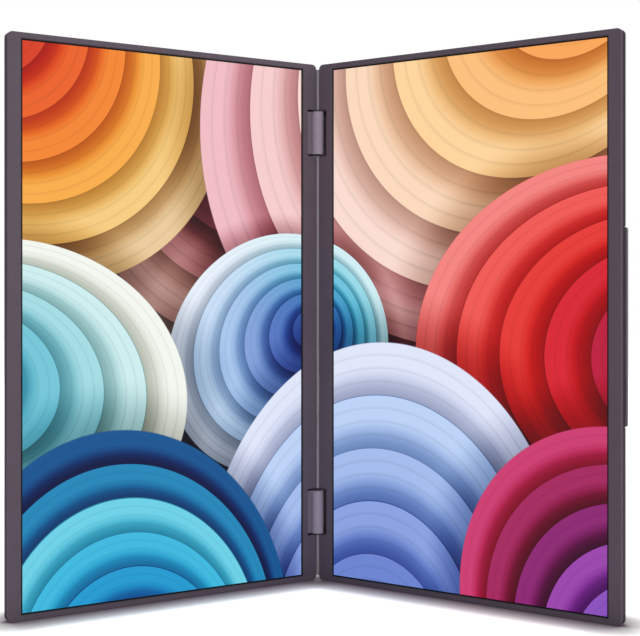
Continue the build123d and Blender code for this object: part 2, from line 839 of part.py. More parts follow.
def usb_c_port(number, u):
    """A small oval socket: its shell, back wall and tongue."""
    mouth = height - port_proud_gap
    spot = (u, port_y)
    with BuildPart() as port:
        with BuildSketch(level(right, mouth)):
            with Locations(spot):
                SlotOverall(usb_w, usb_h)
        extrude(amount=-usb_len)
        with BuildSketch(level(right, mouth)):
            with Locations(spot):
                SlotOverall(usb_w - 2 * shell_t, usb_h - 2 * shell_t)
        extrude(amount=shell_t - usb_len, mode=Mode.SUBTRACT)
        with BuildSketch(level(right, mouth - usb_len)):
            with Locations(spot):
                Rectangle(usb_tongue_w, usb_tongue_t)
        extrude(amount=shell_t + usb_tongue_len)
    finish(port, f"usb_c_port_{number}")


def hdmi_outline(spare):
    """Draws the stepped outline of the small picture socket, this much larger all round."""
    half_w = hdmi_w / 2 + spare
    half_h = hdmi_h / 2 + spare
    half_foot = hdmi_foot_w / 2 + spare
    with Locations((hdmi_u, port_y)):
        Polygon(
            (-half_w, -half_h),
            (half_w, -half_h),
            (half_w, half_h - hdmi_step),
            (half_foot, half_h),
            (-half_foot, half_h),
            (-half_w, half_h - hdmi_step),
        )


def mini_hdmi_port():
    """The small picture socket: its shell, back wall and tongue."""
    mouth = height - port_proud_gap
    with BuildPart() as port:
        with BuildSketch(level(right, mouth)):
            hdmi_outline(0)
        extrude(amount=-hdmi_len)
        with BuildSketch(level(right, mouth)):
            hdmi_outline(-shell_t)
        extrude(amount=shell_t - hdmi_len, mode=Mode.SUBTRACT)
        with BuildSketch(level(right, mouth - hdmi_len)):
            with Locations((hdmi_u, port_y)):
                Rectangle(hdmi_tongue_w, hdmi_tongue_t)
        extrude(amount=shell_t + hdmi_tongue_len)
    finish(port, "mini_hdmi_port")


def key_switches():
    """The three switches on the main board's edge, each with its plunger."""
    body_z1 = main_area.z1 - switch_inset
    plunger_y = main_front - switch_h / 2 + axis_rise
    with BuildPart() as switches:
        for u in key_u.values():
            with BuildSketch(face(right, main_front)):
                patch(right, Area(u - switch_w / 2, u + switch_w / 2, body_z1 - switch_len, body_z1))
            extrude(amount=switch_h)
            with BuildSketch(level(right, body_z1)):
                with Locations((u, plunger_y)):
                    Rectangle(plunger_w, plunger_h)
            extrude(amount=plunger_len)
    finish(switches, "key_switches")


def edge_key(name, u):
    """A key: a cap through the cover's end, a flange inside it and a stem over its switch."""
    flange_top = height - wall_t - slide_gap
    stem_end = main_area.z1 - switch_inset + plunger_len + key_travel + running_gap
    with BuildPart() as key:
        with BuildSketch(level(right, flange_top)):
            with Locations((u, key_y)):
                SlotOverall(key_w, key_h)
        extrude(amount=height + key_proud - flange_top)
        fillet(key.faces().sort_by(Axis.Z)[-1].edges(), key_edge_r)
        with BuildSketch(level(right, flange_top)):
            with Locations((u, key_y)):
                Rectangle(key_w + 2 * key_flange_margin, key_h + 2 * key_flange_margin)
        extrude(amount=-key_flange_t)
        with BuildSketch(level(right, stem_end)):
            with Locations((u, main_front - switch_h / 2 + axis_rise)):
                Rectangle(key_stem_w, plunger_h)
        extrude(amount=flange_top - key_flange_t - stem_end)
    finish(key, name)


def kickstand_plate():
    """The stand: a flat plate with a barrel along its pivot edge."""
    low = mid_z - stand_half
    plate_area = Area(stand_u, stand_end, low, mid_z + stand_half)
    with BuildPart() as plate:
        with BuildSketch(face(right, stand_front)) as outline:
            patch(right, plate_area)
            fillet(outline.vertices().sort_by(Axis.X)[-2:], stand_corner_r)
        extrude(amount=-stand_t)
        ahead = Axis(face(right, 0).origin, face(right, 0).z_dir)
        fillet(plate.faces().sort_by(ahead)[0].edges(), stand_edge_r)
        with BuildSketch(level(right, low)):
            with Locations((stand_u, pivot_y)):
                Circle(pivot_barrel_r)
        extrude(amount=stand_len)
        for end in (-1, 1):
            with BuildSketch(level(right, mid_z + end * stand_half)):
                with Locations((stand_u, pivot_y)):
                    Circle(pivot_pin_r)
            extrude(amount=-end * pivot_pin_bite, mode=Mode.SUBTRACT)
    finish(plate, "kickstand_plate")


def kickstand_foot():
    """The rubber strip along the inner side of the stand's free edge."""
    outer = stand_end - stand_foot_inset
    half = stand_foot_len / 2
    with BuildPart() as strip:
        with BuildSketch(face(right, stand_front)):
            patch(right, Area(outer - stand_foot_w, outer, mid_z - half, mid_z + half), stand_foot_corner_r)
        extrude(amount=stand_foot_t)
    finish(strip, "kickstand_foot")


def kickstand_pins():
    """The two pins, fast in the stand, that it turns on."""
    with BuildPart() as pins:
        for end in (-1, 1):
            with BuildSketch(level(right, mid_z + end * (stand_half - pivot_pin_bite))):
                with Locations((stand_u, pivot_y)):
                    Circle(pivot_pin_r)
            extrude(amount=end * (pivot_pin_bite + stand_end_gap + pivot_bush_len))
    finish(pins, "kickstand_pins")


def kickstand_bushes():
    """The two bushes in the cover that the stand's pins turn in."""
    with BuildPart() as bushes:
        for end in (-1, 1):
            with BuildSketch(level(right, mid_z + end * pocket_half)):
                with Locations((stand_u, pivot_y)):
                    Circle(pivot_bush_r)
                    Circle(pivot_pin_r + running_gap, mode=Mode.SUBTRACT)
            extrude(amount=end * pivot_bush_len)
    finish(bushes, "kickstand_bushes")


for panel_side in (left, right):
    back_cover(panel_side)
    front_bezel(panel_side)
    bezel_tape(panel_side)
    display_layer(panel_side, "front_polariser", polariser, bezel_t, polariser_t)
    display_layer(panel_side, "colour_filter_glass", cell, filter_depth, filter_glass_t)
    display_layer(panel_side, "tft_glass", rear_glass, tft_depth, tft_glass_t)
    display_layer(panel_side, "optical_films", cell, films_depth, films_t)
    display_layer(panel_side, "light_guide", cell, guide_depth, guide_t)
    display_layer(panel_side, "reflector_sheet", rear_glass, reflector_depth, reflector_t)
    display_layer(panel_side, "led_bar", led_bar, guide_depth, guide_t)
    lcd_tray(panel_side)
    driver_board(panel_side)
    driver_flexes(panel_side)
    rear_feet(panel_side)
    hinge_screws(panel_side)

for place, middle_z in (("lower", lower_hinge_z), ("upper", upper_hinge_z)):
    hinge_knuckle("hinge_knuckle_" + place, middle_z, place == "upper")
    hinge_bushes("hinge_bushes_" + place, middle_z)
    hinge_bracket("hinge_bracket_" + place, middle_z)
    hinge_pins("hinge_pins_" + place, middle_z, place == "upper")

fold_strip()
link_cable_left()
link_cable_right()
display_ribbon()
main_board()
main_board_screws()
for port_number, port_u in enumerate(usb_u, 1):
    usb_c_port(port_number, port_u)
mini_hdmi_port()
key_switches()
for key_name, key_middle in key_u.items():
    edge_key(key_name, key_middle)
kickstand_plate()
kickstand_foot()
kickstand_pins()
kickstand_bushes()
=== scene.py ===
"""Dresses a dual portable monitor: casing, pictures, hinges, boards, stand and rubber feet."""

import json
from math import acos, cos, pi, radians, sin

import bmesh
import bpy
from mathutils import Matrix, Vector


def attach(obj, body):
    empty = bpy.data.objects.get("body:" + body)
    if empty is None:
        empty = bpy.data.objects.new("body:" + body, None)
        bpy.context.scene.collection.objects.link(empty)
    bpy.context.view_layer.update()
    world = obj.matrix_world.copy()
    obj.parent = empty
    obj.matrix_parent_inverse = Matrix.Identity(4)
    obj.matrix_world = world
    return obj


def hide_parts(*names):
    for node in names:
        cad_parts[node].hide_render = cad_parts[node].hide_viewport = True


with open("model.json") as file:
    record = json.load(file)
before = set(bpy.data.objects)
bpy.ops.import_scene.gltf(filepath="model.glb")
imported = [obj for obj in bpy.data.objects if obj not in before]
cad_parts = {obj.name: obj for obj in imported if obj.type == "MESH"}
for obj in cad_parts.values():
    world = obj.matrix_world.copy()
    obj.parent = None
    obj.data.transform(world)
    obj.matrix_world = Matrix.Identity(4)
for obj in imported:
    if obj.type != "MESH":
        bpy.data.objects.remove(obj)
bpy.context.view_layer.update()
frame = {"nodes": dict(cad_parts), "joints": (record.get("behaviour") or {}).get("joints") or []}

bl_info = {
    "name": "Dual Portable Monitor",
    "version": (1, 0, 0),
    "blender": (4, 5, 0),
    "location": "3D View > Sidebar > Monitor",
    "description": "Finishes and small pieces for a folding pair of portable screens",
    "category": "Object",
}

# Metres. On a panel, u runs outwards from the fold axis, z up, and depth back from the bezel's face.
MM = 0.001
LEFT, RIGHT = -1, 1
SIDE_NAME = {LEFT: "left", RIGHT: "right"}
FOLD_AXIS = Vector(frame["joints"][0]["pos_m"])
FOLD_ANGLE = 115.3  # degrees between the two pictures
TILT = radians((180 - FOLD_ANGLE) / 2)  # each panel's turn from facing straight ahead
AXIS_RISE = 0.4 * MM  # the fold axis lies this far in front of the bezels
EDGE_GAP = 0.65 * MM  # from the fold axis to a panel's inner side
REACH = 215.2 * MM  # from the fold axis to its outer side
HEIGHT = 353.6 * MM
PANEL_DEPTH = 8.0 * MM
PICTURE = (12.3 * MM, 205.9 * MM, 4.7 * MM, 348.9 * MM)  # u from and to, z from and to
PICTURE_DEPTH = 1.0 * MM  # of the front polariser's face
WINDOW_EDGE = 1.4 * MM  # from the picture to the front edge of the bezel's chamfer
WEB_START = 4.1 * MM  # from the fold axis to the line where a hinge's web leaves its barrel
HINGE_INSET = 47 * MM  # from a panel's end to the middle of a hinge
NOTCH_HALF = 15.95 * MM  # from there to the end of the fold strip
NOTCH_INSIDE = (1.2 * MM, 7.1 * MM)  # u from and to, between the walls of a notch in the back cover
NOTCH_DEEP = 7.9 * MM  # from the fold axis back to just past the notch's floor
STRIP_END = 3.5 * MM  # from a panel's end to the end of the fold strip
STRIP_TAIL_END = 2.6 * MM  # depth of the fold strip's tail
SOCKET_DEPTH = 5.68 * MM  # from the fold axis back to the middle of the sockets
STAND_LIP = 1.3 * MM  # the stand goes this far past the right panel's outer side
STAND_FRONT = 6.5 * MM  # depth of the stand's front face, which carries the rubber strip
RUBBER_INSET = 4 * MM  # from the stand's free edge to the rubber strip
RUBBER_WIDTH = 7 * MM
RUBBER_LENGTH = 96 * MM
RUBBER_CORNER = 2 * MM


# Colours, coordinates and small helpers


def linear(code):
    """An sRGB hex code as a linear colour with alpha."""
    channels = [int(code[i:i + 2], 16) / 255 for i in (0, 2, 4)]
    return tuple(c / 12.92 if c <= 0.04045 else ((c + 0.055) / 1.055) ** 2.4 for c in channels) + (1.0,)


def toned(colour, factor):
    """A lighter or darker tone of a colour."""
    return tuple(min(1.0, c * factor) for c in colour[:3]) + (1.0,)


def panel_turn(side):
    """How far a panel is turned about the vertical."""
    return -side * TILT


def panel_place(side):
    """The matrix from a panel's own axes, side * u, depth + rise and z, to the world."""
    return Matrix.Translation(FOLD_AXIS) @ Matrix.Rotation(panel_turn(side), 4, "Z")


def feed(tree, node, links):
    """Links what each socket of a node takes. A source is a socket, or a node for its first output."""
    for socket, source in links.items():
        if isinstance(source, bpy.types.Node):
            source = source.outputs[0]
        tree.links.new(source, node.inputs[socket])


def hold(node, values):
    """Sets constants on a node's own sockets."""
    for socket, value in values.items():
        node.inputs[socket].default_value = value


def add_node(tree, kind, links=None, values=None, **settings):
    """Adds a node with the links and the values of its sockets and with its settings."""
    node = tree.nodes.new(kind)
    for name, value in settings.items():
        setattr(node, name, value)
    hold(node, values or {})
    feed(tree, node, links or {})
    return node


def set_stops(ramp, stops, interpolation="LINEAR"):
    """Gives a colour ramp its stops, as position and colour."""
    band = ramp.color_ramp
    band.interpolation = interpolation
    while len(band.elements) > 1:
        band.elements.remove(band.elements[-1])
    band.elements[0].position, band.elements[0].color = stops[0]
    for position, colour in stops[1:]:
        band.elements.new(position).color = colour


def new_finish(name, constants=None):
    """A new material with its tree, its shader, which takes the constants, and its object coordinates."""
    old = bpy.data.materials.get(name)
    if old:
        bpy.data.materials.remove(old)
    material = bpy.data.materials.new(name)
    material.use_nodes = True
    tree = material.node_tree
    shader = tree.nodes["Principled BSDF"]
    hold(shader, constants or {})
    spot = add_node(tree, "ShaderNodeTexCoord").outputs["Object"]
    return material, tree, shader, spot


def panel_spot(tree, spot, side):
    """The coordinates turned into a panel's own axes."""
    return add_node(tree, "ShaderNodeMapping", {"Vector": spot},
                    {"Location": FOLD_AXIS, "Rotation": (0, 0, panel_turn(side))}, vector_type="TEXTURE")


def inside(tree, placed, ranges):
    """One inside all the ranges, which name their axes, and nought outside them."""
    parts = add_node(tree, "ShaderNodeSeparateXYZ", {"Vector": placed})
    whole = None
    for axis, (low, high) in ranges.items():
        near = add_node(tree, "ShaderNodeMath", {0: parts.outputs[axis]},
                        {1: (low + high) / 2, 2: abs(high - low) / 2}, operation="COMPARE")
        whole = add_node(tree, "ShaderNodeMath", {0: whole, 1: near}, operation="MULTIPLY") if whole else near
    return whole


def picture_area(side, margin=0.0):
    """The picture's ranges with a margin round it, as inside() takes them."""
    u_low, u_high, z_low, z_high = PICTURE
    return {"X": (side * (u_low - margin), side * (u_high + margin)), "Z": (z_low - margin, z_high + margin)}


# A Mix node's sockets for two colours and their blend, by number, as its other kinds have the same names
FACTOR, UNDER, OVER, BLENDED = 0, 6, 7, 2


def paint(tree, shader, mask, colour):
    """Paints the part of the surface that a mask picks."""
    below = shader.inputs["Base Color"].links[0].from_socket
    painted = add_node(tree, "ShaderNodeMix", {FACTOR: mask, UNDER: below}, {OVER: colour}, data_type="RGBA")
    feed(tree, shader, {"Base Color": painted.outputs[BLENDED]})


def tint(tree, shader, source, stops):
    """Colours the surface by a pattern, from stops of position and colour."""
    ramp = add_node(tree, "ShaderNodeValToRGB", {"Fac": source})
    set_stops(ramp, stops)
    feed(tree, shader, {"Base Color": ramp})


def mottle(tree, spot, shader, colour, size, low=0.92, high=1.08, detail=4.0):
    """Lets the base colour drift between two tones over patches of a size."""
    noise = add_node(tree, "ShaderNodeTexNoise", {"Vector": spot}, {"Scale": 1 / size, "Detail": detail})
    tint(tree, shader, noise, [(0.3, toned(colour, low)), (0.7, toned(colour, high))])
    return noise


def vary_roughness(tree, shader, source, low, high):
    """Lets the roughness follow a pattern."""
    spread = add_node(tree, "ShaderNodeMapRange", {"Value": source},
                      {"From Min": 0.3, "From Max": 0.7, "To Min": low, "To Max": high})
    feed(tree, shader, {"Roughness": spread})


def emboss(tree, shader, source, depth, strength=0.4):
    """Raises a pattern from the surface by a depth."""
    bump = add_node(tree, "ShaderNodeBump", {"Height": source}, {"Distance": depth, "Strength": strength})
    feed(tree, shader, {"Normal": bump})


# Finishes

WAVE_SCALE = 0.31  # of a wave texture whose bands are one metre apart


def moulded_pc_abs(name, colour, grain=0.45 * MM, roughness=0.5):
    """Moulded PC-ABS: an even matt colour with the fine pitted grain of a spark-eroded mould."""
    material, tree, shader, spot = new_finish(name, {"IOR": 1.55, "Specular IOR Level": 0.3})
    mottle(tree, spot, shader, colour, 9 * MM, 0.96, 1.04)
    # Real grain is about 0.1 mm and would not show, so it is drawn four times as coarse
    pits = add_node(tree, "ShaderNodeTexNoise", {"Vector": spot}, {"Scale": 1 / grain, "Detail": 2.0})
    vary_roughness(tree, shader, pits, roughness - 0.05, roughness + 0.08)
    emboss(tree, shader, pits, 0.03 * MM)
    return material


def moulded_bezel(side, colour):
    """The front frame's moulded PC-ABS, whose chamfer round the picture is painted darker as painted shade,
    for the window's recess in shadow.
    """
    material = moulded_pc_abs(f"bezel_pc_abs_{SIDE_NAME[side]}", colour)
    tree = material.node_tree
    placed = panel_spot(tree, tree.nodes["Texture Coordinate"].outputs["Object"], side)
    # Painted shade: the chamfer round the picture takes a darker tone that stands for the shadow in the
    # window's recess
    paint(tree, tree.nodes["Principled BSDF"], inside(tree, placed, picture_area(side, WINDOW_EDGE)),
          linear("463F46"))
    return material


def anodised_aluminium(name, colour, along=(1.0, 1.0, 0.02), brush=0.3 * MM, roughness=0.42):
    """Brushed and anodised aluminium: a dark satin sheen with hair lines along the panel's height."""
    # The dyed oxide drinks the light that a bare metal would throw back at a low angle
    dyed = (0.5, 0.47, 0.5, 1.0)
    material, tree, shader, spot = new_finish(name, {"Metallic": 1.0, "Specular Tint": dyed})
    lines = add_node(tree, "ShaderNodeMapping", {"Vector": spot}, {"Scale": along})
    # Brush marks are about 0.05 mm wide; they are drawn at 0.3 mm so that they show
    hair = mottle(tree, lines, shader, colour, brush, 0.93, 1.07, 3.0)
    vary_roughness(tree, shader, hair, roughness - 0.07, roughness + 0.07)
    emboss(tree, shader, hair, 0.012 * MM, 0.3)
    return material


def notched_cover(side, colour, notch_painted_light=linear("867B86")):
    """Anodised aluminium with a paler tone painted inside its hinge notches, as painted light lifting their
    deep shade.
    """
    material = anodised_aluminium(f"cover_aluminium_anodised_{SIDE_NAME[side]}", colour)
    tree = material.node_tree
    placed = panel_spot(tree, tree.nodes["Texture Coordinate"].outputs["Object"], side)
    # Painted light: a paler tone inside each hinge notch stands in for light reaching its deep walls
    across = [side * u for u in NOTCH_INSIDE]
    for z in (HINGE_INSET, HEIGHT - HINGE_INSET):
        notch = {"X": across, "Y": (0, NOTCH_DEEP), "Z": (z - NOTCH_HALF, z + NOTCH_HALF)}
        paint(tree, tree.nodes["Principled BSDF"], inside(tree, placed, notch), notch_painted_light)
    return material


def painted_zinc(name, colour, web_painted_shade=0.45):
    """Die-cast zinc under sprayed satin paint: a soft pale barrel with a faint ripple, and a web darkened as
    painted shade.
    """
    material, tree, shader, spot = new_finish(name, {"IOR": 1.5})
    mottle(tree, spot, shader, colour, 4 * MM, 0.97, 1.03)
    peel = add_node(tree, "ShaderNodeTexNoise", {"Vector": spot}, {"Scale": 1 / (0.8 * MM), "Detail": 1.0})
    vary_roughness(tree, shader, peel, 0.55, 0.65)
    placed = panel_spot(tree, spot, LEFT)
    # Painted shade: the web beside the barrel takes a darker tone that stands for the shade on that side of
    # the casting
    paint(tree, shader, inside(tree, placed, {"X": (-REACH, -WEB_START)}), toned(colour, web_painted_shade))
    emboss(tree, shader, peel, 0.02 * MM, 0.25)
    return material


def rolled_steel(name, colour, roughness=0.35, grain=(1.0, 1.0, 0.1), size=0.5 * MM):
    """Cold-rolled or plated steel sheet: a grey metal with faint drawn streaks from the rollers."""
    material, tree, shader, spot = new_finish(name, {"Metallic": 1.0})
    mottle(tree, spot, shader, colour, 6 * MM, 0.9, 1.08)
    drawn = add_node(tree, "ShaderNodeMapping", {"Vector": spot}, {"Scale": grain})
    streaks = add_node(tree, "ShaderNodeTexNoise", {"Vector": drawn}, {"Scale": 1 / size, "Detail": 4.0})
    vary_roughness(tree, shader, streaks, roughness - 0.08, roughness + 0.1)
    emboss(tree, shader, streaks, 0.01 * MM, 0.3)
    return material


def black_oxide(name, colour, roughness=0.55):
    """Steel under an oiled black oxide: a dull, nearly black skin that hides the metal."""
    # An oiled skin has no mirror sheen, not even at a low angle
    material, tree, shader, spot = new_finish(name, {"Specular IOR Level": 0.0})
    cloud = mottle(tree, spot, shader, colour, 3 * MM, 0.8, 1.15)
    vary_roughness(tree, shader, cloud, roughness - 0.08, roughness + 0.08)
    emboss(tree, shader, cloud, 0.01 * MM, 0.2)
    return material


def sintered_bronze(name, colour):
    """Sintered bronze: a brown-yellow metal full of tiny dark oil pores."""
    material, tree, shader, spot = new_finish(name, {"Metallic": 1.0})
    pores = add_node(tree, "ShaderNodeTexVoronoi", {"Vector": spot}, {"Scale": 1 / (0.3 * MM)})
    tint(tree, shader, pores, [(0.05, toned(colour, 0.25)), (0.25, colour), (1.0, toned(colour, 1.1))])
    vary_roughness(tree, shader, pores, 0.35, 0.5)
    emboss(tree, shader, pores, 0.02 * MM)
    return material


def solder_mask(name, colour):
    """Glass-fibre board under green solder mask: glossy, with the paler lines of the copper tracks."""
    material, tree, shader, spot = new_finish(name)
    tracks = add_node(tree, "ShaderNodeTexVoronoi", {"Vector": spot}, {"Scale": 1 / (3.2 * MM)},
                      distance="MANHATTAN", feature="F1")
    steps = add_node(tree, "ShaderNodeMath", {0: tracks}, {1: 0.09}, operation="PINGPONG")
    tint(tree, shader, steps, [(0.03, toned(colour, 1.9)), (0.045, colour)])
    vary_roughness(tree, shader, tracks, 0.22, 0.35)
    emboss(tree, shader, steps, 0.02 * MM, 0.3)
    return material


def polyimide(name, colour, across, pitch=1.0 * MM):
    """Polyimide film: a glossy amber skin with the parallel darker lines of the tracks inside it."""
    material, tree, shader, spot = new_finish(name)
    lines = add_node(tree, "ShaderNodeTexWave", {"Vector": spot}, {"Scale": WAVE_SCALE / pitch},
                     bands_direction=across)
    tint(tree, shader, lines.outputs["Fac"], [(0.35, toned(colour, 0.6)), (0.6, colour)])
    vary_roughness(tree, shader, lines.outputs["Fac"], 0.2, 0.3)
    emboss(tree, shader, lines.outputs["Fac"], 0.01 * MM, 0.2)
    return material


def optical_sheet(name, colour, roughness, pitch=0.6 * MM):
    """Glass, film or acrylic of the display: smooth and cool, with the even ripple of its prisms or dots."""
    material, tree, shader, spot = new_finish(name, {"IOR": 1.5, "Coat Weight": 0.4})
    mottle(tree, spot, shader, colour, 40 * MM, 0.97, 1.02)
    ripple = add_node(tree, "ShaderNodeTexWave", {"Vector": spot}, {"Scale": WAVE_SCALE / pitch},
                      bands_direction="Z")
    vary_roughness(tree, shader, ripple.outputs["Fac"], roughness, roughness + 0.05)
    emboss(tree, shader, ripple.outputs["Fac"], 0.005 * MM, 0.2)
    return material


def moulded_rubber(name, colour, speck=0.6 * MM, roughness=0.75):
    """Moulded rubber: a soft, nearly glossless surface with dusty specks."""
    material, tree, shader, spot = new_finish(name, {"Sheen Weight": 0.1})
    dust = mottle(tree, spot, shader, colour, speck, 0.85, 1.2)
    vary_roughness(tree, shader, dust, roughness - 0.08, roughness + 0.1)
    emboss(tree, shader, dust, 0.03 * MM)
    return material


def gold_plate(name, colour):
    """Gold plate over nickel: a warm bright metal, faintly scratched by plugs along its length."""
    material, tree, shader, spot = new_finish(name, {"Metallic": 1.0})
    mottle(tree, spot, shader, colour, 0.8 * MM, 0.9, 1.05)
    drawn = add_node(tree, "ShaderNodeMapping", {"Vector": spot}, {"Scale": (1.0, 1.0, 0.05)})
    scratches = add_node(tree, "ShaderNodeTexNoise", {"Vector": drawn}, {"Scale": 1 / (0.1 * MM)})
    vary_roughness(tree, shader, scratches, 0.18, 0.35)
    return material


# The design on the two pictures: sheets of rings, like paper cut in steps and laid on each other. Every ring
# of a sheet is an ellipse round one focus. Each sheet has its focus to the right of the fold axis and up in
# mm, its ring width in mm, how far the rings swell, the way in degrees in which they swell and change their
# colours, and the rings' colours from the focus outwards, against that way and along it.
RING_SHEETS = [
    ((-20, 398), 17, 0.5, 255,
     "3A173E 5C2450 8A3358 B84A54 D9605C E8857A F3B6A4 F7D9CC",
     "3F2350 5F3468 84476F A95F79 C8848F DDA9A9 EFD0C8 F4E4DE"),
    ((-258, 398), 14, 0.5, 312,
     "8E1A14 B8261A D63A20 EA5622 F57A2A FB9C3C FDBE58 F8D68C",
     "A31A1A BE2A1C D84020 EA6224 F4862E F8AC48 F6CC80 EACB9C"),
    ((206, 410), 21, 0.5, 222,
     "F08A3C F8A24C FCBC68 FDD08C FDE0B0 FBE6C8 F9E1D8 F4CCC8",
     "F4904A FAA85C FCC07C FDD49C FBD9BC FADCD0 F6CCCC F0BCC4"),
    ((0, 176), 12, 0.4, 215,
     "0F4E8C 1C7CB4 35A6CC 62C6DC 98DCEA D2F0F6",
     "3C54A8 5C78C4 84A2DA A8C6EC C8DEF6 E8F0FB"),
    ((286, 158), 15, 0.5, 180,
     "5A0A22 A01430 C81A30 E0282C EC3F2E F45C3C F97E4C",
     "6A0C38 9A1040 BC1A3C D82430 E63A34 F05A54 F48480"),
    ((-268, 150), 13, 0.55, 346,
     "1A6EA0 2C94BC 48B0D2 7CCBE0 B0E0EC E2F3F4",
     "2A86A8 48AAC6 74C6D8 A4DCE4 CDEDEE F2F6EE"),
    ((38, -84), 16, 0.55, 84,
     "143C8C 2464B4 3C8AD0 5AA6DC 82C2EC AEDAF6 DCEEFC",
     "2A3F9C 4A60BC 6C84D0 8AA2E0 A4BCEC BCD2F6 E0E6FA"),
    ((-122, -84), 11, 0.5, 104,
     "081848 0C2C72 0C3C8C 0A56A4 0D74BA 1A90CC 36AEDC 0E6EAA 0A4680",
     "0A1E5E 0C3A80 0A56A0 0E76B8 1E9AD0 3CB8DE 6CD0E6 1E86B8 0C5490"),
    ((258, -60), 12, 0.5, 122,
     "231C5C 3A2C82 5A3AA4 8444B4 B454BC C86CC4 A83C84 6E1648",
     "2A2C78 44489C 6450BC 8A50BC 9A44AC 8C2472 A4265E CC3C70"),
]


def ring_sheet(tree, spot, below, focus, width, swell, way, *palettes):
    """Lays one sheet of rings, with its soft shadow, over the colour below it."""
    count = len(palettes[0].split())
    outer = width * count * MM
    centre = Vector((focus[0] * MM, AXIS_RISE + PICTURE_DEPTH, focus[1] * MM))
    heading = Vector((cos(radians(way)), 0, sin(radians(way))))
    away = add_node(tree, "ShaderNodeVectorMath", {0: spot}, {1: centre}, operation="SUBTRACT")
    radius = add_node(tree, "ShaderNodeVectorMath", {0: away}, operation="LENGTH")
    along = add_node(tree, "ShaderNodeVectorMath", {0: away}, {1: heading}, operation="DOT_PRODUCT")
    reach = add_node(tree, "ShaderNodeMath", {0: along.outputs["Value"], 2: radius.outputs["Value"]},
                     {1: -swell}, operation="MULTIPLY_ADD").outputs["Value"]
    share = add_node(tree, "ShaderNodeMath", {0: reach}, {1: outer}, operation="DIVIDE")
    blend = add_node(tree, "ShaderNodeMapRange", {"Value": along.outputs["Value"]},
                     {"From Min": -0.8 * outer, "From Max": 0.8 * outer}, interpolation_type="SMOOTHSTEP")
    tints = []
    for palette in palettes:
        ramp = add_node(tree, "ShaderNodeValToRGB", {"Fac": share})
        set_stops(ramp, [(i / count, linear(code)) for i, code in enumerate(palette.split())], "CONSTANT")
        tints.append(ramp)
    flat = add_node(tree, "ShaderNodeMix", {FACTOR: blend, UNDER: tints[0], OVER: tints[1]},
                    data_type="RGBA")
    # Each ring lies under the next one in, which shades its inner side, and is scored with finer lines
    ring = width * MM
    shaded = shade_from(tree, flat.outputs[BLENDED], reach, ring, 0.0, 0.6 * ring, depth=2.0, level=0.6)
    scored = shade_from(tree, shaded, reach, ring / 4, 0.0, 0.08 * ring, depth=1.0, level=0.88)
    cast = shade_from(tree, below, reach, 1.0, outer - 3 * MM, outer + 18 * MM, depth=1.7, level=0.55)
    cut = add_node(tree, "ShaderNodeMapRange", {"Value": reach},
                   {"From Min": outer - 0.2 * MM, "From Max": outer + 0.2 * MM, "To Min": 1.0, "To Max": 0.0})
    laid = add_node(tree, "ShaderNodeMix", {FACTOR: cut, UNDER: cast, OVER: scored}, data_type="RGBA")
    return laid.outputs[BLENDED]


def shade_from(tree, colour, reach, every, low, high, depth, level):
    """Darkens and deepens a colour by each edge, fading out between two distances from it."""
    past = add_node(tree, "ShaderNodeMath", {0: reach}, {1: every, 2: 0.0}, operation="WRAP")
    deeper, darker = [
        add_node(tree, "ShaderNodeMapRange", {"Value": past},
                 {"From Min": low, "From Max": high, "To Min": near_edge, "To Max": 1.0},
                 interpolation_type="SMOOTHSTEP") for near_edge in (depth, level)]
    deep = add_node(tree, "ShaderNodeGamma", {"Color": colour, "Gamma": deeper})
    dark = add_node(tree, "ShaderNodeVectorMath", {0: deep, "Scale": darker}, operation="SCALE")
    return dark


def lit_picture(side, glow, border):
    """A lit display under its matt front film: the design glows, and round it is the panel's black border."""
    material, tree, shader, spot = new_finish(
        f"lit_display_film_{SIDE_NAME[side]}", {"Emission Strength": glow, "Specular IOR Level": 0.08})
    placed = panel_spot(tree, spot, side)
    parts = add_node(tree, "ShaderNodeSeparateXYZ", {"Vector": placed})
    height = add_node(tree, "ShaderNodeMapRange", {"Value": parts.outputs["Z"]}, {"From Max": HEIGHT})
    ground = add_node(tree, "ShaderNodeValToRGB", {"Fac": height})
    set_stops(ground, [(0.0, linear("16235E")), (0.25, linear("2F6FB4")), (0.5, linear("9CC4E8")),
                       (0.75, linear("F2A060")), (1.0, linear("D8432F"))])
    colour = ground.outputs["Color"]
    for sheet in RING_SHEETS:
        colour = ring_sheet(tree, placed, colour, *sheet)
    # The picture ends in straight sides; past them the film is black
    lit = inside(tree, placed, picture_area(side))
    shown = add_node(tree, "ShaderNodeMix", {FACTOR: lit, OVER: colour}, {UNDER: (0, 0, 0, 1)},
                     data_type="RGBA")
    feed(tree, shader, {"Emission Color": shown.outputs[BLENDED]})
    haze = mottle(tree, spot, shader, border, 0.5 * MM, 0.9, 1.1)
    vary_roughness(tree, shader, haze, 0.34, 0.42)
    return material


# Sizes and colours that a user may change

COLOUR = {"subtype": "COLOR", "size": 4, "min": 0, "max": 1}  # what the colours share


class CasingSettings(bpy.types.PropertyGroup):
    bezel_colour: bpy.props.FloatVectorProperty(
        name="Bezel", description="Colour of the moulded front frames", default=linear("594D5A"), **COLOUR)
    cover_colour: bpy.props.FloatVectorProperty(
        name="Back covers", description="Colour of the anodised back covers",
        default=linear("4A434A"), **COLOUR)
    key_colour: bpy.props.FloatVectorProperty(
        name="Keys", description="Colour of the three edge keys", default=linear("57505A"), **COLOUR)


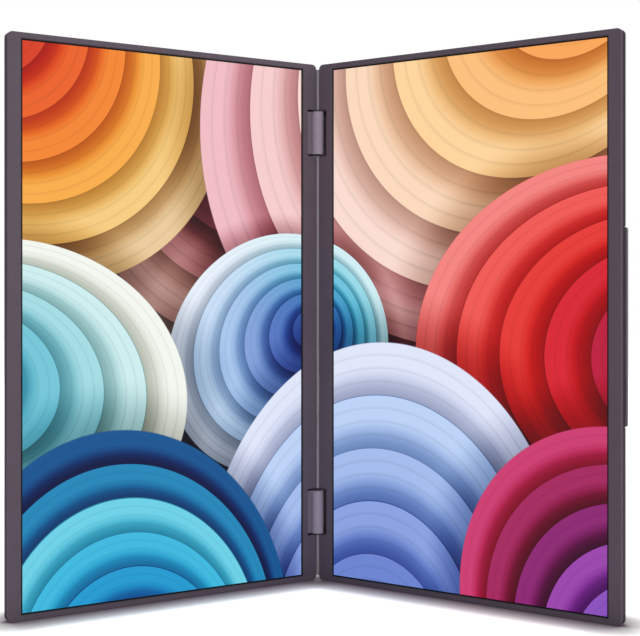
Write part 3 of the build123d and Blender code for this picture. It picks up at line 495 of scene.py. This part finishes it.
class FoldStripSettings(bpy.types.PropertyGroup):
    strip_colour: bpy.props.FloatVectorProperty(
        name="Colour", description="Colour of the soft strip along the fold",
        default=linear("8C848E"), **COLOUR)
    bead_radius: bpy.props.FloatProperty(
        name="Bead radius", description="Radius of the round bead on the fold axis", unit="LENGTH",
        min=0.0007, max=0.00095, default=0.94 * MM)
    tail_thickness: bpy.props.FloatProperty(
        name="Tail thickness", description="Thickness of the tail on the left panel", unit="LENGTH",
        min=0.0003, max=0.0006, default=0.6 * MM)


class PictureSettings(bpy.types.PropertyGroup):
    glow: bpy.props.FloatProperty(
        name="Brightness", description="How brightly the pictures glow", min=0, max=4, default=1.0)
    border_colour: bpy.props.FloatVectorProperty(
        name="Border", description="Colour of the film where it is dark",
        default=linear("141217"), **COLOUR)


class HingeSettings(bpy.types.PropertyGroup):
    casting_colour: bpy.props.FloatVectorProperty(
        name="Castings", description="Colour of the hinges' painted castings",
        default=linear("9C8FA2"), **COLOUR)
    sheet_colour: bpy.props.FloatVectorProperty(
        name="Brackets", description="Colour of the hinges' sheet brackets",
        default=linear("4A454C"), **COLOUR)


class StandSettings(bpy.types.PropertyGroup):
    plate_colour: bpy.props.FloatVectorProperty(
        name="Stand", description="Colour of the folding stand's plate",
        default=linear("A6A4A9"), **COLOUR)
    rubber_colour: bpy.props.FloatVectorProperty(
        name="Rubber", description="Colour of the strip and the feet", default=linear("2A282B"), **COLOUR)
    strip_thickness: bpy.props.FloatProperty(
        name="Strip thickness", description="Thickness of the rubber strip with its ribs", unit="LENGTH",
        min=0.0002, max=0.002, default=0.8 * MM)
    rib_pitch: bpy.props.FloatProperty(
        name="Rib spacing", description="From one rib of the rubber strip to the next", unit="LENGTH",
        min=0.0005, max=0.01, default=2.4 * MM)


class FootSettings(bpy.types.PropertyGroup):
    radius: bpy.props.FloatProperty(
        name="Radius", description="Radius of a round foot", unit="LENGTH",
        min=0.001, max=0.02, default=5 * MM)
    thickness: bpy.props.FloatProperty(
        name="Thickness", description="Thickness of a foot at its middle", unit="LENGTH",
        min=0.0001, max=0.005, default=0.6 * MM)
    crown: bpy.props.FloatProperty(
        name="Crown", description="How much lower a foot is at its rim", unit="LENGTH",
        min=0, max=0.004, default=0.3 * MM)
    inset_across: bpy.props.FloatProperty(
        name="Inset across", description="From a panel's side to a foot's middle", unit="LENGTH",
        min=0.01, max=0.1, default=22 * MM)
    inset_up: bpy.props.FloatProperty(
        name="Inset up", description="From a panel's end to a foot's middle", unit="LENGTH",
        min=0.01, max=0.1, default=18 * MM)


class SocketSettings(bpy.types.PropertyGroup):
    contact_proud: bpy.props.FloatProperty(
        name="Contacts proud", description="How far the contacts stand out of a tongue", unit="LENGTH",
        min=0.00001, max=0.0002, default=0.04 * MM)
    shell_colour: bpy.props.FloatVectorProperty(
        name="Shells", description="Colour of the sockets' plated shells",
        default=linear("A9A8AC"), **COLOUR)


class StageSettings(bpy.types.PropertyGroup):
    front_power: bpy.props.FloatProperty(
        name="Front soft box", description="Power of the soft box in front of the monitor in watts",
        min=0, max=500, default=13)
    back_power: bpy.props.FloatProperty(
        name="Back soft box", description="Power of the soft box behind the monitor in watts",
        min=0, max=500, default=13)
    side_power: bpy.props.FloatProperty(
        name="Side soft box", description="Power of the soft box to the right of the monitor in watts",
        min=0, max=500, default=5)
    fill_level: bpy.props.FloatProperty(
        name="Room", description="Level of the even light from all round", min=0, max=2, default=0.33)
    floor_colour: bpy.props.FloatVectorProperty(
        name="Floor", description="Colour of the floor", default=linear("F4F2F3"), **COLOUR)


# Making pieces


def add_object(name, data):
    """A new object in the scene."""
    thing = bpy.data.objects.new(name, data)
    bpy.context.scene.collection.objects.link(thing)
    return thing


def settle(name, shape, side, material):
    """Turns a shape in a panel's own axes into a plain piece with its material, placed in its mesh."""
    bmesh.ops.recalc_face_normals(shape, faces=shape.faces)
    mesh = bpy.data.meshes.new(name)
    shape.to_mesh(mesh)
    shape.free()
    mesh.transform(panel_place(side))
    mesh.materials.append(material)
    return add_object(name, mesh)


def dress(material, *nodes):
    """Gives solids their finish."""
    for name in nodes:
        for holder in frame["nodes"][name].material_slots:
            holder.material = material


def both(*names):
    """The names of a piece on the left and on the right panel."""
    return [f"{side}_{name}" for side in SIDE_NAME.values() for name in names]


def new_tree(name, sizes):
    """A Geometry Nodes tree with its ends and its named inputs, which are lengths unless they are counts."""
    tree = bpy.data.node_groups.new(name, "GeometryNodeTree")
    tree.interface.new_socket("Geometry", in_out="INPUT", socket_type="NodeSocketGeometry")
    tree.interface.new_socket("Geometry", in_out="OUTPUT", socket_type="NodeSocketGeometry")
    for label, value in sizes.items():
        kind = "NodeSocketInt" if isinstance(value, int) else "NodeSocketFloat"
        tree.interface.new_socket(label, in_out="INPUT", socket_type=kind)
    return tree, add_node(tree, "NodeGroupInput"), add_node(tree, "NodeGroupOutput")


def grow(name, points, tree, sizes, side):
    """Runs a tree on points in a panel's own axes and returns one plain piece, placed in its mesh."""
    seed_mesh = bpy.data.meshes.new(name + "_points")
    seed_mesh.from_pydata(points, [], [])
    seed = add_object(name + "_points", seed_mesh)
    modifier = seed.modifiers.new("Pattern", "NODES")
    modifier.node_group = tree
    for item in tree.interface.items_tree:
        if item.item_type == "SOCKET" and item.in_out == "INPUT" and item.name in sizes:
            modifier[item.identifier] = sizes[item.name]
    bpy.context.view_layer.update()
    graph = bpy.context.evaluated_depsgraph_get()
    grown = seed.evaluated_get(graph)
    mesh = bpy.data.meshes.new_from_object(grown, preserve_all_data_layers=True, depsgraph=graph)
    bpy.data.objects.remove(seed)
    bpy.data.meshes.remove(seed_mesh)
    if not mesh.polygons:
        raise RuntimeError(f"{name} came out empty")
    mesh.name = name
    mesh.transform(panel_place(side))
    return add_object(name, mesh)


def finish_tree(tree, copies, material, result):
    """Ends a tree in real copies with their material."""
    real = add_node(tree, "GeometryNodeRealizeInstances", {"Geometry": copies})
    finish = add_node(tree, "GeometryNodeSetMaterial", {"Geometry": real}, {"Material": material})
    feed(tree, result, {"Geometry": finish})
    return tree


def foot_tree(material, sizes):
    """A crowned round pad on each point, with its flat side on the panel's back."""
    tree, source, result = new_tree("Round feet", sizes)
    thickness = source.outputs["Thickness"]
    pad = add_node(tree, "GeometryNodeMeshCylinder", {"Radius": source.outputs["Radius"], "Depth": thickness},
                   {"Vertices": 48, "Side Segments": 2, "Fill Segments": 12}, fill_type="TRIANGLE_FAN")
    spot = add_node(tree, "GeometryNodeInputPosition")
    flat = add_node(tree, "ShaderNodeVectorMath", {0: spot}, {1: (1, 1, 0)}, operation="MULTIPLY")
    radius = add_node(tree, "ShaderNodeVectorMath", {0: flat}, operation="LENGTH")
    share = add_node(tree, "ShaderNodeMath", {0: radius.outputs["Value"], 1: source.outputs["Radius"]},
                     operation="DIVIDE")
    # The top falls with the fifth power of the radius, so that it is nearly flat and turns down at its rim
    bend = add_node(tree, "ShaderNodeMath", {0: share}, {1: 5.0}, operation="POWER")
    drop = add_node(tree, "ShaderNodeMath", {0: bend, 1: source.outputs["Crown"]}, operation="MULTIPLY")
    lower = add_node(tree, "ShaderNodeMath", {0: drop}, {1: -1.0}, operation="MULTIPLY")
    offset = add_node(tree, "ShaderNodeCombineXYZ", {"Z": lower})
    height = add_node(tree, "ShaderNodeSeparateXYZ", {"Vector": spot})
    top = add_node(tree, "ShaderNodeMath", {0: height.outputs["Z"]}, {1: 0.01 * MM},
                   operation="GREATER_THAN")
    crowned = add_node(tree, "GeometryNodeSetPosition",
                       {"Geometry": pad, "Selection": top, "Offset": offset})
    half = add_node(tree, "ShaderNodeMath", {0: thickness}, {1: 0.5}, operation="MULTIPLY")
    lift = add_node(tree, "ShaderNodeCombineXYZ", {"Z": half})
    raised = add_node(tree, "GeometryNodeTransform", {"Geometry": crowned, "Translation": lift})
    copies = add_node(tree, "GeometryNodeInstanceOnPoints", {"Points": source, "Instance": raised},
                      {"Rotation": (-pi / 2, 0, 0)})
    return finish_tree(tree, copies, material, result)


def lay_rows(tree, source, piece, axis, turn=(0, 0, 0)):
    """A row of a piece along an axis from each point, at the tree's own pitch and count."""
    step = add_node(tree, "ShaderNodeCombineXYZ", {axis: source.outputs["Pitch"]})
    row = add_node(tree, "GeometryNodeMeshLine", {"Count": source.outputs["Count"], "Offset": step},
                   mode="OFFSET")
    in_row = add_node(tree, "GeometryNodeInstanceOnPoints", {"Points": row, "Instance": piece},
                      {"Rotation": turn})
    return add_node(tree, "GeometryNodeInstanceOnPoints", {"Points": source, "Instance": in_row})


def contact_tree(name, material, sizes):
    """A row of flat contacts from each point, side by side along X."""
    tree, source, result = new_tree(name, sizes)
    size = add_node(tree, "ShaderNodeCombineXYZ", {
        "X": source.outputs["Width"], "Y": source.outputs["Proud"], "Z": source.outputs["Length"]})
    contact = add_node(tree, "GeometryNodeMeshCube", {"Size": size})
    return finish_tree(tree, lay_rows(tree, source, contact, "X"), material, result)


def rib_tree(material, sizes):
    """A row of round ribs up from each point, which lie across the strip, half sunk in its base."""
    tree, source, result = new_tree("Ribbed strip", sizes)
    rib = add_node(tree, "GeometryNodeMeshCylinder",
                   {"Radius": source.outputs["Rib radius"], "Depth": source.outputs["Width"]},
                   {"Vertices": 16})
    return finish_tree(tree, lay_rows(tree, source, rib, "Z", (0, pi / 2, 0)), material, result)


class MONITOR_OT_casing(bpy.types.Operator):
    """Finish the covers, the front frames and the keys"""

    bl_idname = "monitor.casing"
    bl_label = "Casing"

    def execute(self, context):
        casing = context.scene.monitor_casing
        for side, name in SIDE_NAME.items():
            dress(moulded_bezel(side, casing.bezel_colour), name + "_front_bezel")
            dress(notched_cover(side, casing.cover_colour), name + "_back_cover")
        dress(moulded_pc_abs("key_pc_abs_moulded", casing.key_colour, 0.3 * MM, 0.42),
              "power_key", "menu_up_key", "menu_down_key")
        return {"FINISHED"}


class MONITOR_OT_fold_strip(bpy.types.Operator):
    """Lay the soft strip that closes the gap along the fold"""

    bl_idname = "monitor.fold_strip"
    bl_label = "Fold strip"

    def execute(self, context):
        strip = context.scene.monitor_fold_strip
        rubber = moulded_rubber("fold_strip_tpe_extruded", strip.strip_colour, 1.2 * MM, 0.6)
        radius = strip.bead_radius
        tail_end = AXIS_RISE + STRIP_TAIL_END
        # In plan the bead is cut open where the tail leaves it, and the tail lies on the panel's inner side
        inner = -EDGE_GAP + strip.tail_thickness
        start = acos(inner / radius)
        turn = 2 * pi - start + acos(-EDGE_GAP / radius)
        steps = 48
        outline = [(radius * cos(start - turn * i / steps), radius * sin(start - turn * i / steps))
                   for i in range(steps + 1)]
        outline += [(-EDGE_GAP, tail_end), (inner, tail_end)]
        low, high = STRIP_END, HEIGHT - STRIP_END
        notches = [(z - NOTCH_HALF, z + NOTCH_HALF) for z in (HINGE_INSET, HEIGHT - HINGE_INSET)]
        stretches = [(low, notches[0][0]), (notches[0][1], notches[1][0]), (notches[1][1], high)]
        piece = extruded("fold_strip_bead", outline, stretches, rubber)
        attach(piece, "left_panel")
        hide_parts("fold_strip")
        return {"FINISHED"}


def extruded(name, outline, stretches, material):
    """A piece with one outline on the left panel, closed at both ends, over each stretch of its height."""
    shape = bmesh.new()
    for low, high in stretches:
        foot = shape.faces.new([shape.verts.new((x, y, low)) for x, y in outline])
        top = bmesh.ops.extrude_face_region(shape, geom=[foot])["geom"]
        corners = [part for part in top if isinstance(part, bmesh.types.BMVert)]
        bmesh.ops.translate(shape, vec=(0, 0, high - low), verts=corners)
    piece = settle(name, shape, LEFT, material)
    for face in piece.data.polygons:
        face.use_smooth = True
    piece.data.set_sharp_from_angle(angle=radians(30))
    return piece


class MONITOR_OT_pictures(bpy.types.Operator):
    """Finish the two displays, from the lit front film to the tray behind it"""

    bl_idname = "monitor.pictures"
    bl_label = "Pictures"

    def execute(self, context):
        picture = context.scene.monitor_picture
        for side, name in SIDE_NAME.items():
            dress(lit_picture(side, picture.glow, picture.border_colour), name + "_front_polariser")
        dress(moulded_rubber("tape_polyester_black", linear("141316"), 2 * MM, 0.5), *both("bezel_tape"))
        dress(optical_sheet("display_glass_clear", linear("A9B4B3"), 0.08),
              *both("colour_filter_glass", "tft_glass"))
        dress(optical_sheet("prism_film_pet", linear("DDDDE2"), 0.25, 0.4 * MM),
              *both("optical_films", "reflector_sheet"))
        dress(optical_sheet("light_guide_acrylic", linear("E6EAEC"), 0.1, 1.2 * MM), *both("light_guide"))
        dress(polyimide("light_bar_phosphor", linear("E3D58E"), "Z", 5 * MM), *both("led_bar"))
        dress(rolled_steel("tray_steel_rolled", linear("B5B6BA"), 0.38), *both("lcd_tray"))
        return {"FINISHED"}


class MONITOR_OT_hinges(bpy.types.Operator):
    """Finish the hinges' castings, brackets, pins, bushes and screws"""

    bl_idname = "monitor.hinges"
    bl_label = "Hinges"

    def execute(self, context):
        hinge = context.scene.monitor_hinge
        dress(painted_zinc("knuckle_zinc_painted", hinge.casting_colour),
              "hinge_knuckle_upper", "hinge_knuckle_lower")
        dress(black_oxide("bracket_steel_black_oxide", hinge.sheet_colour),
              "hinge_bracket_upper", "hinge_bracket_lower")
        dress(rolled_steel("pin_steel_turned", linear("9B9A9E"), 0.3, (0.15, 0.15, 1.0), 0.3 * MM),
              "kickstand_pins")
        dress(black_oxide("pin_steel_black_oxide", linear("3A363C"), 0.45),
              "hinge_pins_upper", "hinge_pins_lower")
        dress(sintered_bronze("bush_bronze_sintered", linear("B48A4A")),
              "hinge_bushes_upper", "hinge_bushes_lower", "kickstand_bushes")
        dress(rolled_steel("screw_steel_blackened", linear("38363A"), 0.4, (1.0, 1.0, 1.0), 0.4 * MM),
              "hinge_screws_left", "hinge_screws_right", "main_board_screws")
        return {"FINISHED"}


class MONITOR_OT_boards(bpy.types.Operator):
    """Finish the circuit boards, their cables and the bodies of the sockets and switches"""

    bl_idname = "monitor.boards"
    bl_label = "Boards and cables"

    def execute(self, context):
        sockets = context.scene.monitor_socket
        dress(solder_mask("board_solder_mask", linear("1C5A3C")), "main_board", *both("driver_board"))
        dress(polyimide("flex_polyimide", linear("B4702A"), "Z"), *both("driver_flexes"))
        dress(polyimide("ribbon_polyimide", linear("B4702A"), "X", 0.8 * MM), "display_ribbon")
        dress(moulded_rubber("cable_pvc_jacket", linear("1A191B"), 1.0 * MM, 0.5),
              "link_cable_left", "link_cable_right")
        dress(moulded_pc_abs("switch_lcp_moulded", linear("2B2A2D"), 0.3 * MM, 0.55), "key_switches")
        shell = rolled_steel("socket_steel_nickel_plated", sockets.shell_colour, 0.25, (1.0, 1.0, 0.2),
                             0.3 * MM)
        dress(shell, *[name for name in frame["nodes"] if "_port" in name])
        return {"FINISHED"}


class MONITOR_OT_contacts(bpy.types.Operator):
    """Lay the rows of gold contacts on the sockets' tongues"""

    bl_idname = "monitor.contacts"
    bl_label = "Socket contacts"

    def execute(self, context):
        proud = context.scene.monitor_socket.contact_proud
        gold = gold_plate("contact_gold_plated", linear("E2B65C"))
        # Their middles, tongue thickness, contact width, spacing, count, length and height, in mm
        rows = [
            ("oval_socket_contacts", (60.0, 85.0), 0.7, 0.28, 0.5, 12, 3.2, 348.9),
            ("picture_socket_contacts", (112.0,), 0.8, 0.2, 0.4, 10, 3.0, 348.6),
        ]
        for name, middles, tongue, width, pitch, count, length, height in rows:
            sizes = {"Width": width * MM, "Proud": proud, "Length": length * MM, "Pitch": pitch * MM,
                     "Count": count}
            tree = contact_tree(name.replace("_", " "), gold, sizes)
            half_row = (count - 1) * pitch / 2
            lift = (tongue * MM + proud) / 2
            points = [((u - half_row) * MM, SOCKET_DEPTH + face * lift, height * MM)
                      for u in middles for face in (-1, 1)]
            piece = grow(name, points, tree, sizes, RIGHT)
            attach(piece, "right_panel")
        return {"FINISHED"}


class MONITOR_OT_stand(bpy.types.Operator):
    """Finish the folding stand and lay its ribbed rubber strip"""

    bl_idname = "monitor.stand"
    bl_label = "Stand"

    def execute(self, context):
        stand = context.scene.monitor_stand
        dress(anodised_aluminium("stand_aluminium_brushed", stand.plate_colour, roughness=0.38),
              "kickstand_plate")
        rubber = moulded_rubber("stand_rubber_moulded", stand.rubber_colour)
        high = REACH + STAND_LIP - RUBBER_INSET
        low = high - RUBBER_WIDTH
        back = AXIS_RISE + STAND_FRONT
        # The ribs' axes lie on the face of the base
        face = back - 0.45 * stand.strip_thickness
        radius = 0.55 * stand.strip_thickness
        base = slab("stand_strip_base", (low, high), (face, back),
                    ((HEIGHT - RUBBER_LENGTH) / 2, (HEIGHT + RUBBER_LENGTH) / 2), RUBBER_CORNER, rubber)
        count = int((RUBBER_LENGTH - 2 * RUBBER_CORNER) / stand.rib_pitch)
        sizes = {"Rib radius": radius, "Width": high - low - 0.8 * MM, "Pitch": stand.rib_pitch,
                 "Count": count}
        start = HEIGHT / 2 - (count - 1) * stand.rib_pitch / 2
        points = [((low + high) / 2, face, start)]
        ribs = grow("stand_strip_ribs", points, rib_tree(rubber, sizes), sizes, RIGHT)
        for piece in (base, ribs):
            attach(piece, "kickstand")
        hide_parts("kickstand_foot")
        return {"FINISHED"}


def slab(name, across, depth, up, corner, material):
    """A flat piece on the right panel, from and to along each axis, with round corners and soft edges."""
    shape = bmesh.new()
    bmesh.ops.create_cube(shape, size=1.0)
    centre = Vector([(low + high) / 2 for low, high in (across, depth, up)])
    size = Vector([high - low for low, high in (across, depth, up)])
    bmesh.ops.scale(shape, vec=size, verts=shape.verts)
    bmesh.ops.translate(shape, vec=centre, verts=shape.verts)
    through = [e for e in shape.edges if abs((e.verts[0].co - e.verts[1].co).y) > 0.9 * size.y]
    bmesh.ops.bevel(shape, geom=through, offset=corner, segments=6, profile=0.5, affect="EDGES")
    rims = [e for e in shape.edges if e.calc_face_angle(0) > radians(69)]
    bmesh.ops.bevel(shape, geom=rims, offset=0.12 * size.y, segments=2, profile=0.5, affect="EDGES")
    return settle(name, shape, RIGHT, material)


class MONITOR_OT_feet(bpy.types.Operator):
    """Lay the crowned rubber feet on both backs"""

    bl_idname = "monitor.feet"
    bl_label = "Rubber feet"

    def execute(self, context):
        foot = context.scene.monitor_foot
        rubber = moulded_rubber("foot_rubber_moulded", context.scene.monitor_stand.rubber_colour, 0.8 * MM)
        sizes = {"Radius": foot.radius, "Thickness": foot.thickness, "Crown": foot.crown}
        tree = foot_tree(rubber, sizes)
        back = AXIS_RISE + PANEL_DEPTH
        for side, name in SIDE_NAME.items():
            points = [(side * u, back, z) for u in (EDGE_GAP + foot.inset_across, REACH - foot.inset_across)
                      for z in (foot.inset_up, HEIGHT - foot.inset_up)]
            piece = grow(name + "_round_feet", points, tree, sizes, side)
            for face in piece.data.polygons:
                face.use_smooth = True
            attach(piece, name + "_panel")
            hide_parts(name + "_rear_feet")
        return {"FINISHED"}


class MONITOR_OT_stage(bpy.types.Operator):
    """Set the floor, the lights, the room and the camera"""

    bl_idname = "monitor.stage"
    bl_label = "Stage"

    def execute(self, context):
        stage = context.scene.monitor_stage
        lay_floor(stage.floor_colour)
        light_room(stage.fill_level)
        # Their power, width and place in metres
        hang_soft_box("front_soft_box", stage.front_power, 1.2, (0.4, -1.9, 0.5))
        hang_soft_box("back_soft_box", stage.back_power, 1.2, (0, 1.9, 0.8))
        # The right panel hides this one from the left panel's inner side
        hang_soft_box("side_soft_box", stage.side_power, 0.7, (1.6, -0.65, 0.6))
        place_camera()
        context.scene.view_settings.view_transform = "Standard"
        return {"FINISHED"}


def seen_directly(tree):
    """One where a ray comes from the camera, a mirror or glass, and otherwise nought."""
    path = add_node(tree, "ShaderNodeLightPath")
    first = add_node(tree, "ShaderNodeMath",
                     {0: path.outputs["Is Camera Ray"], 1: path.outputs["Is Glossy Ray"]},
                     operation="MAXIMUM")
    return add_node(tree, "ShaderNodeMath", {0: first, 1: path.outputs["Is Transmission Ray"]},
                    operation="MAXIMUM").outputs["Value"]


def lay_floor(colour):
    """A plain pale floor that is white to the eye and keeps a mauve shadow where the monitor stands."""
    material, tree, shader, spot = new_finish(
        "floor_paper_seamless", {"Roughness": 0.8, "Specular IOR Level": 0.1})
    near = add_node(tree, "ShaderNodeAmbientOcclusion", values={"Distance": 25 * MM}, samples=16)
    shadow = add_node(tree, "ShaderNodeValToRGB", {"Fac": near.outputs["AO"]})
    # From close under the monitor out to the open floor
    set_stops(shadow, [
        (0.5, linear("4C434A")), (0.62, linear("665D63")), (0.73, linear("847D81")),
        (0.84, linear("9F9C9D")), (0.92, linear("BBBABA")), (0.98, linear("D7D7D6")), (1.0, colour)])
    feed(tree, shader, {"Base Color": shadow, "Emission Color": shadow})
    lift = add_node(tree, "ShaderNodeMath", {0: seen_directly(tree)}, {1: 0.85}, operation="MULTIPLY")
    feed(tree, shader, {"Emission Strength": lift})
    mesh = bpy.data.meshes.new("floor")
    half = 4.0  # metres
    corners = [(-half, -half, 0), (half, -half, 0), (half, half, 0), (-half, half, 0)]
    mesh.from_pydata(corners, [], [(0, 1, 2, 3)])
    mesh.materials.append(material)
    add_object("floor", mesh)


def light_room(level):
    """An even pale room that shows as white."""
    world = bpy.data.worlds.new("pale_room")
    bpy.context.scene.world = world
    world.use_nodes = True
    tree = world.node_tree
    strength = add_node(tree, "ShaderNodeMapRange", {"Value": seen_directly(tree)},
                        {"To Min": level, "To Max": 1.0})
    background = tree.nodes["Background"]
    hold(background, {"Color": (1, 1, 1, 1)})
    feed(tree, background, {"Strength": strength})


def hang_soft_box(name, power, size, place):
    """A square soft box that faces the monitor."""
    lamp = bpy.data.lights.new(name, "AREA")
    lamp.shape = "SQUARE"
    lamp.size = size
    lamp.energy = power
    holder = add_object(name, lamp)
    holder.location = place
    aim = Vector((0, 0, HEIGHT / 2)) - holder.location
    holder.rotation_euler = aim.to_track_quat("-Z", "Y").to_euler()


# The photograph's view. The first four are pixels in its frame.
FRAME_WIDTH, FRAME_HEIGHT = 640, 636
FOCAL_LENGTH = 1216.2
HORIZON_ROW = 292.2
CAMERA_PLACE = (20.0 * MM, -835.2 * MM, 197.5 * MM)  # from the foot of the fold axis
CAMERA_TURN = radians(1.26)  # to the left


def place_camera():
    """The photograph's view: a level camera just right of the fold, turned a little to the left."""
    camera = bpy.data.cameras.new("camera")
    camera.sensor_width = 36.0
    camera.lens = camera.sensor_width * FOCAL_LENGTH / FRAME_WIDTH
    camera.shift_y = (HORIZON_ROW - FRAME_HEIGHT / 2) / FRAME_WIDTH
    camera.clip_start = 0.01
    holder = add_object("camera", camera)
    holder.location = Vector((FOLD_AXIS.x, FOLD_AXIS.y, 0)) + Vector(CAMERA_PLACE)
    holder.rotation_euler = (radians(90), 0, CAMERA_TURN)
    bpy.context.scene.camera = holder


OPERATORS = (
    MONITOR_OT_casing,
    MONITOR_OT_fold_strip,
    MONITOR_OT_pictures,
    MONITOR_OT_hinges,
    MONITOR_OT_boards,
    MONITOR_OT_contacts,
    MONITOR_OT_stand,
    MONITOR_OT_feet,
    MONITOR_OT_stage,
)

SETTINGS = {
    "monitor_casing": CasingSettings,
    "monitor_fold_strip": FoldStripSettings,
    "monitor_picture": PictureSettings,
    "monitor_hinge": HingeSettings,
    "monitor_stand": StandSettings,
    "monitor_foot": FootSettings,
    "monitor_socket": SocketSettings,
    "monitor_stage": StageSettings,
}


class MONITOR_PT_sidebar(bpy.types.Panel):
    """Lists the monitor's pieces and their sizes and colours"""

    bl_idname = "MONITOR_PT_sidebar"
    bl_label = "Dual Portable Monitor"
    bl_space_type = "VIEW_3D"
    bl_region_type = "UI"
    bl_category = "Monitor"

    def draw(self, context):
        for operator in OPERATORS:
            self.layout.operator(operator.bl_idname)
        for name in SETTINGS:
            box = self.layout.box()
            group = getattr(context.scene, name)
            for label in group.__annotations__:
                box.prop(group, label)


def register():
    for group in SETTINGS.values():
        bpy.utils.register_class(group)
    for name, group in SETTINGS.items():
        setattr(bpy.types.Scene, name, bpy.props.PointerProperty(type=group))
    for operator in OPERATORS:
        bpy.utils.register_class(operator)
    bpy.utils.register_class(MONITOR_PT_sidebar)


def unregister():
    bpy.utils.unregister_class(MONITOR_PT_sidebar)
    for operator in reversed(OPERATORS):
        bpy.utils.unregister_class(operator)
    for name in SETTINGS:
        delattr(bpy.types.Scene, name)
    for group in reversed(SETTINGS.values()):
        bpy.utils.unregister_class(group)


def main():
    """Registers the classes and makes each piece."""
    register()
    bpy.ops.monitor.casing()
    bpy.ops.monitor.fold_strip()
    bpy.ops.monitor.pictures()
    bpy.ops.monitor.hinges()
    bpy.ops.monitor.boards()
    bpy.ops.monitor.contacts()
    bpy.ops.monitor.stand()
    bpy.ops.monitor.feet()
    bpy.ops.monitor.stage()


if __name__ == "__main__":
    main()
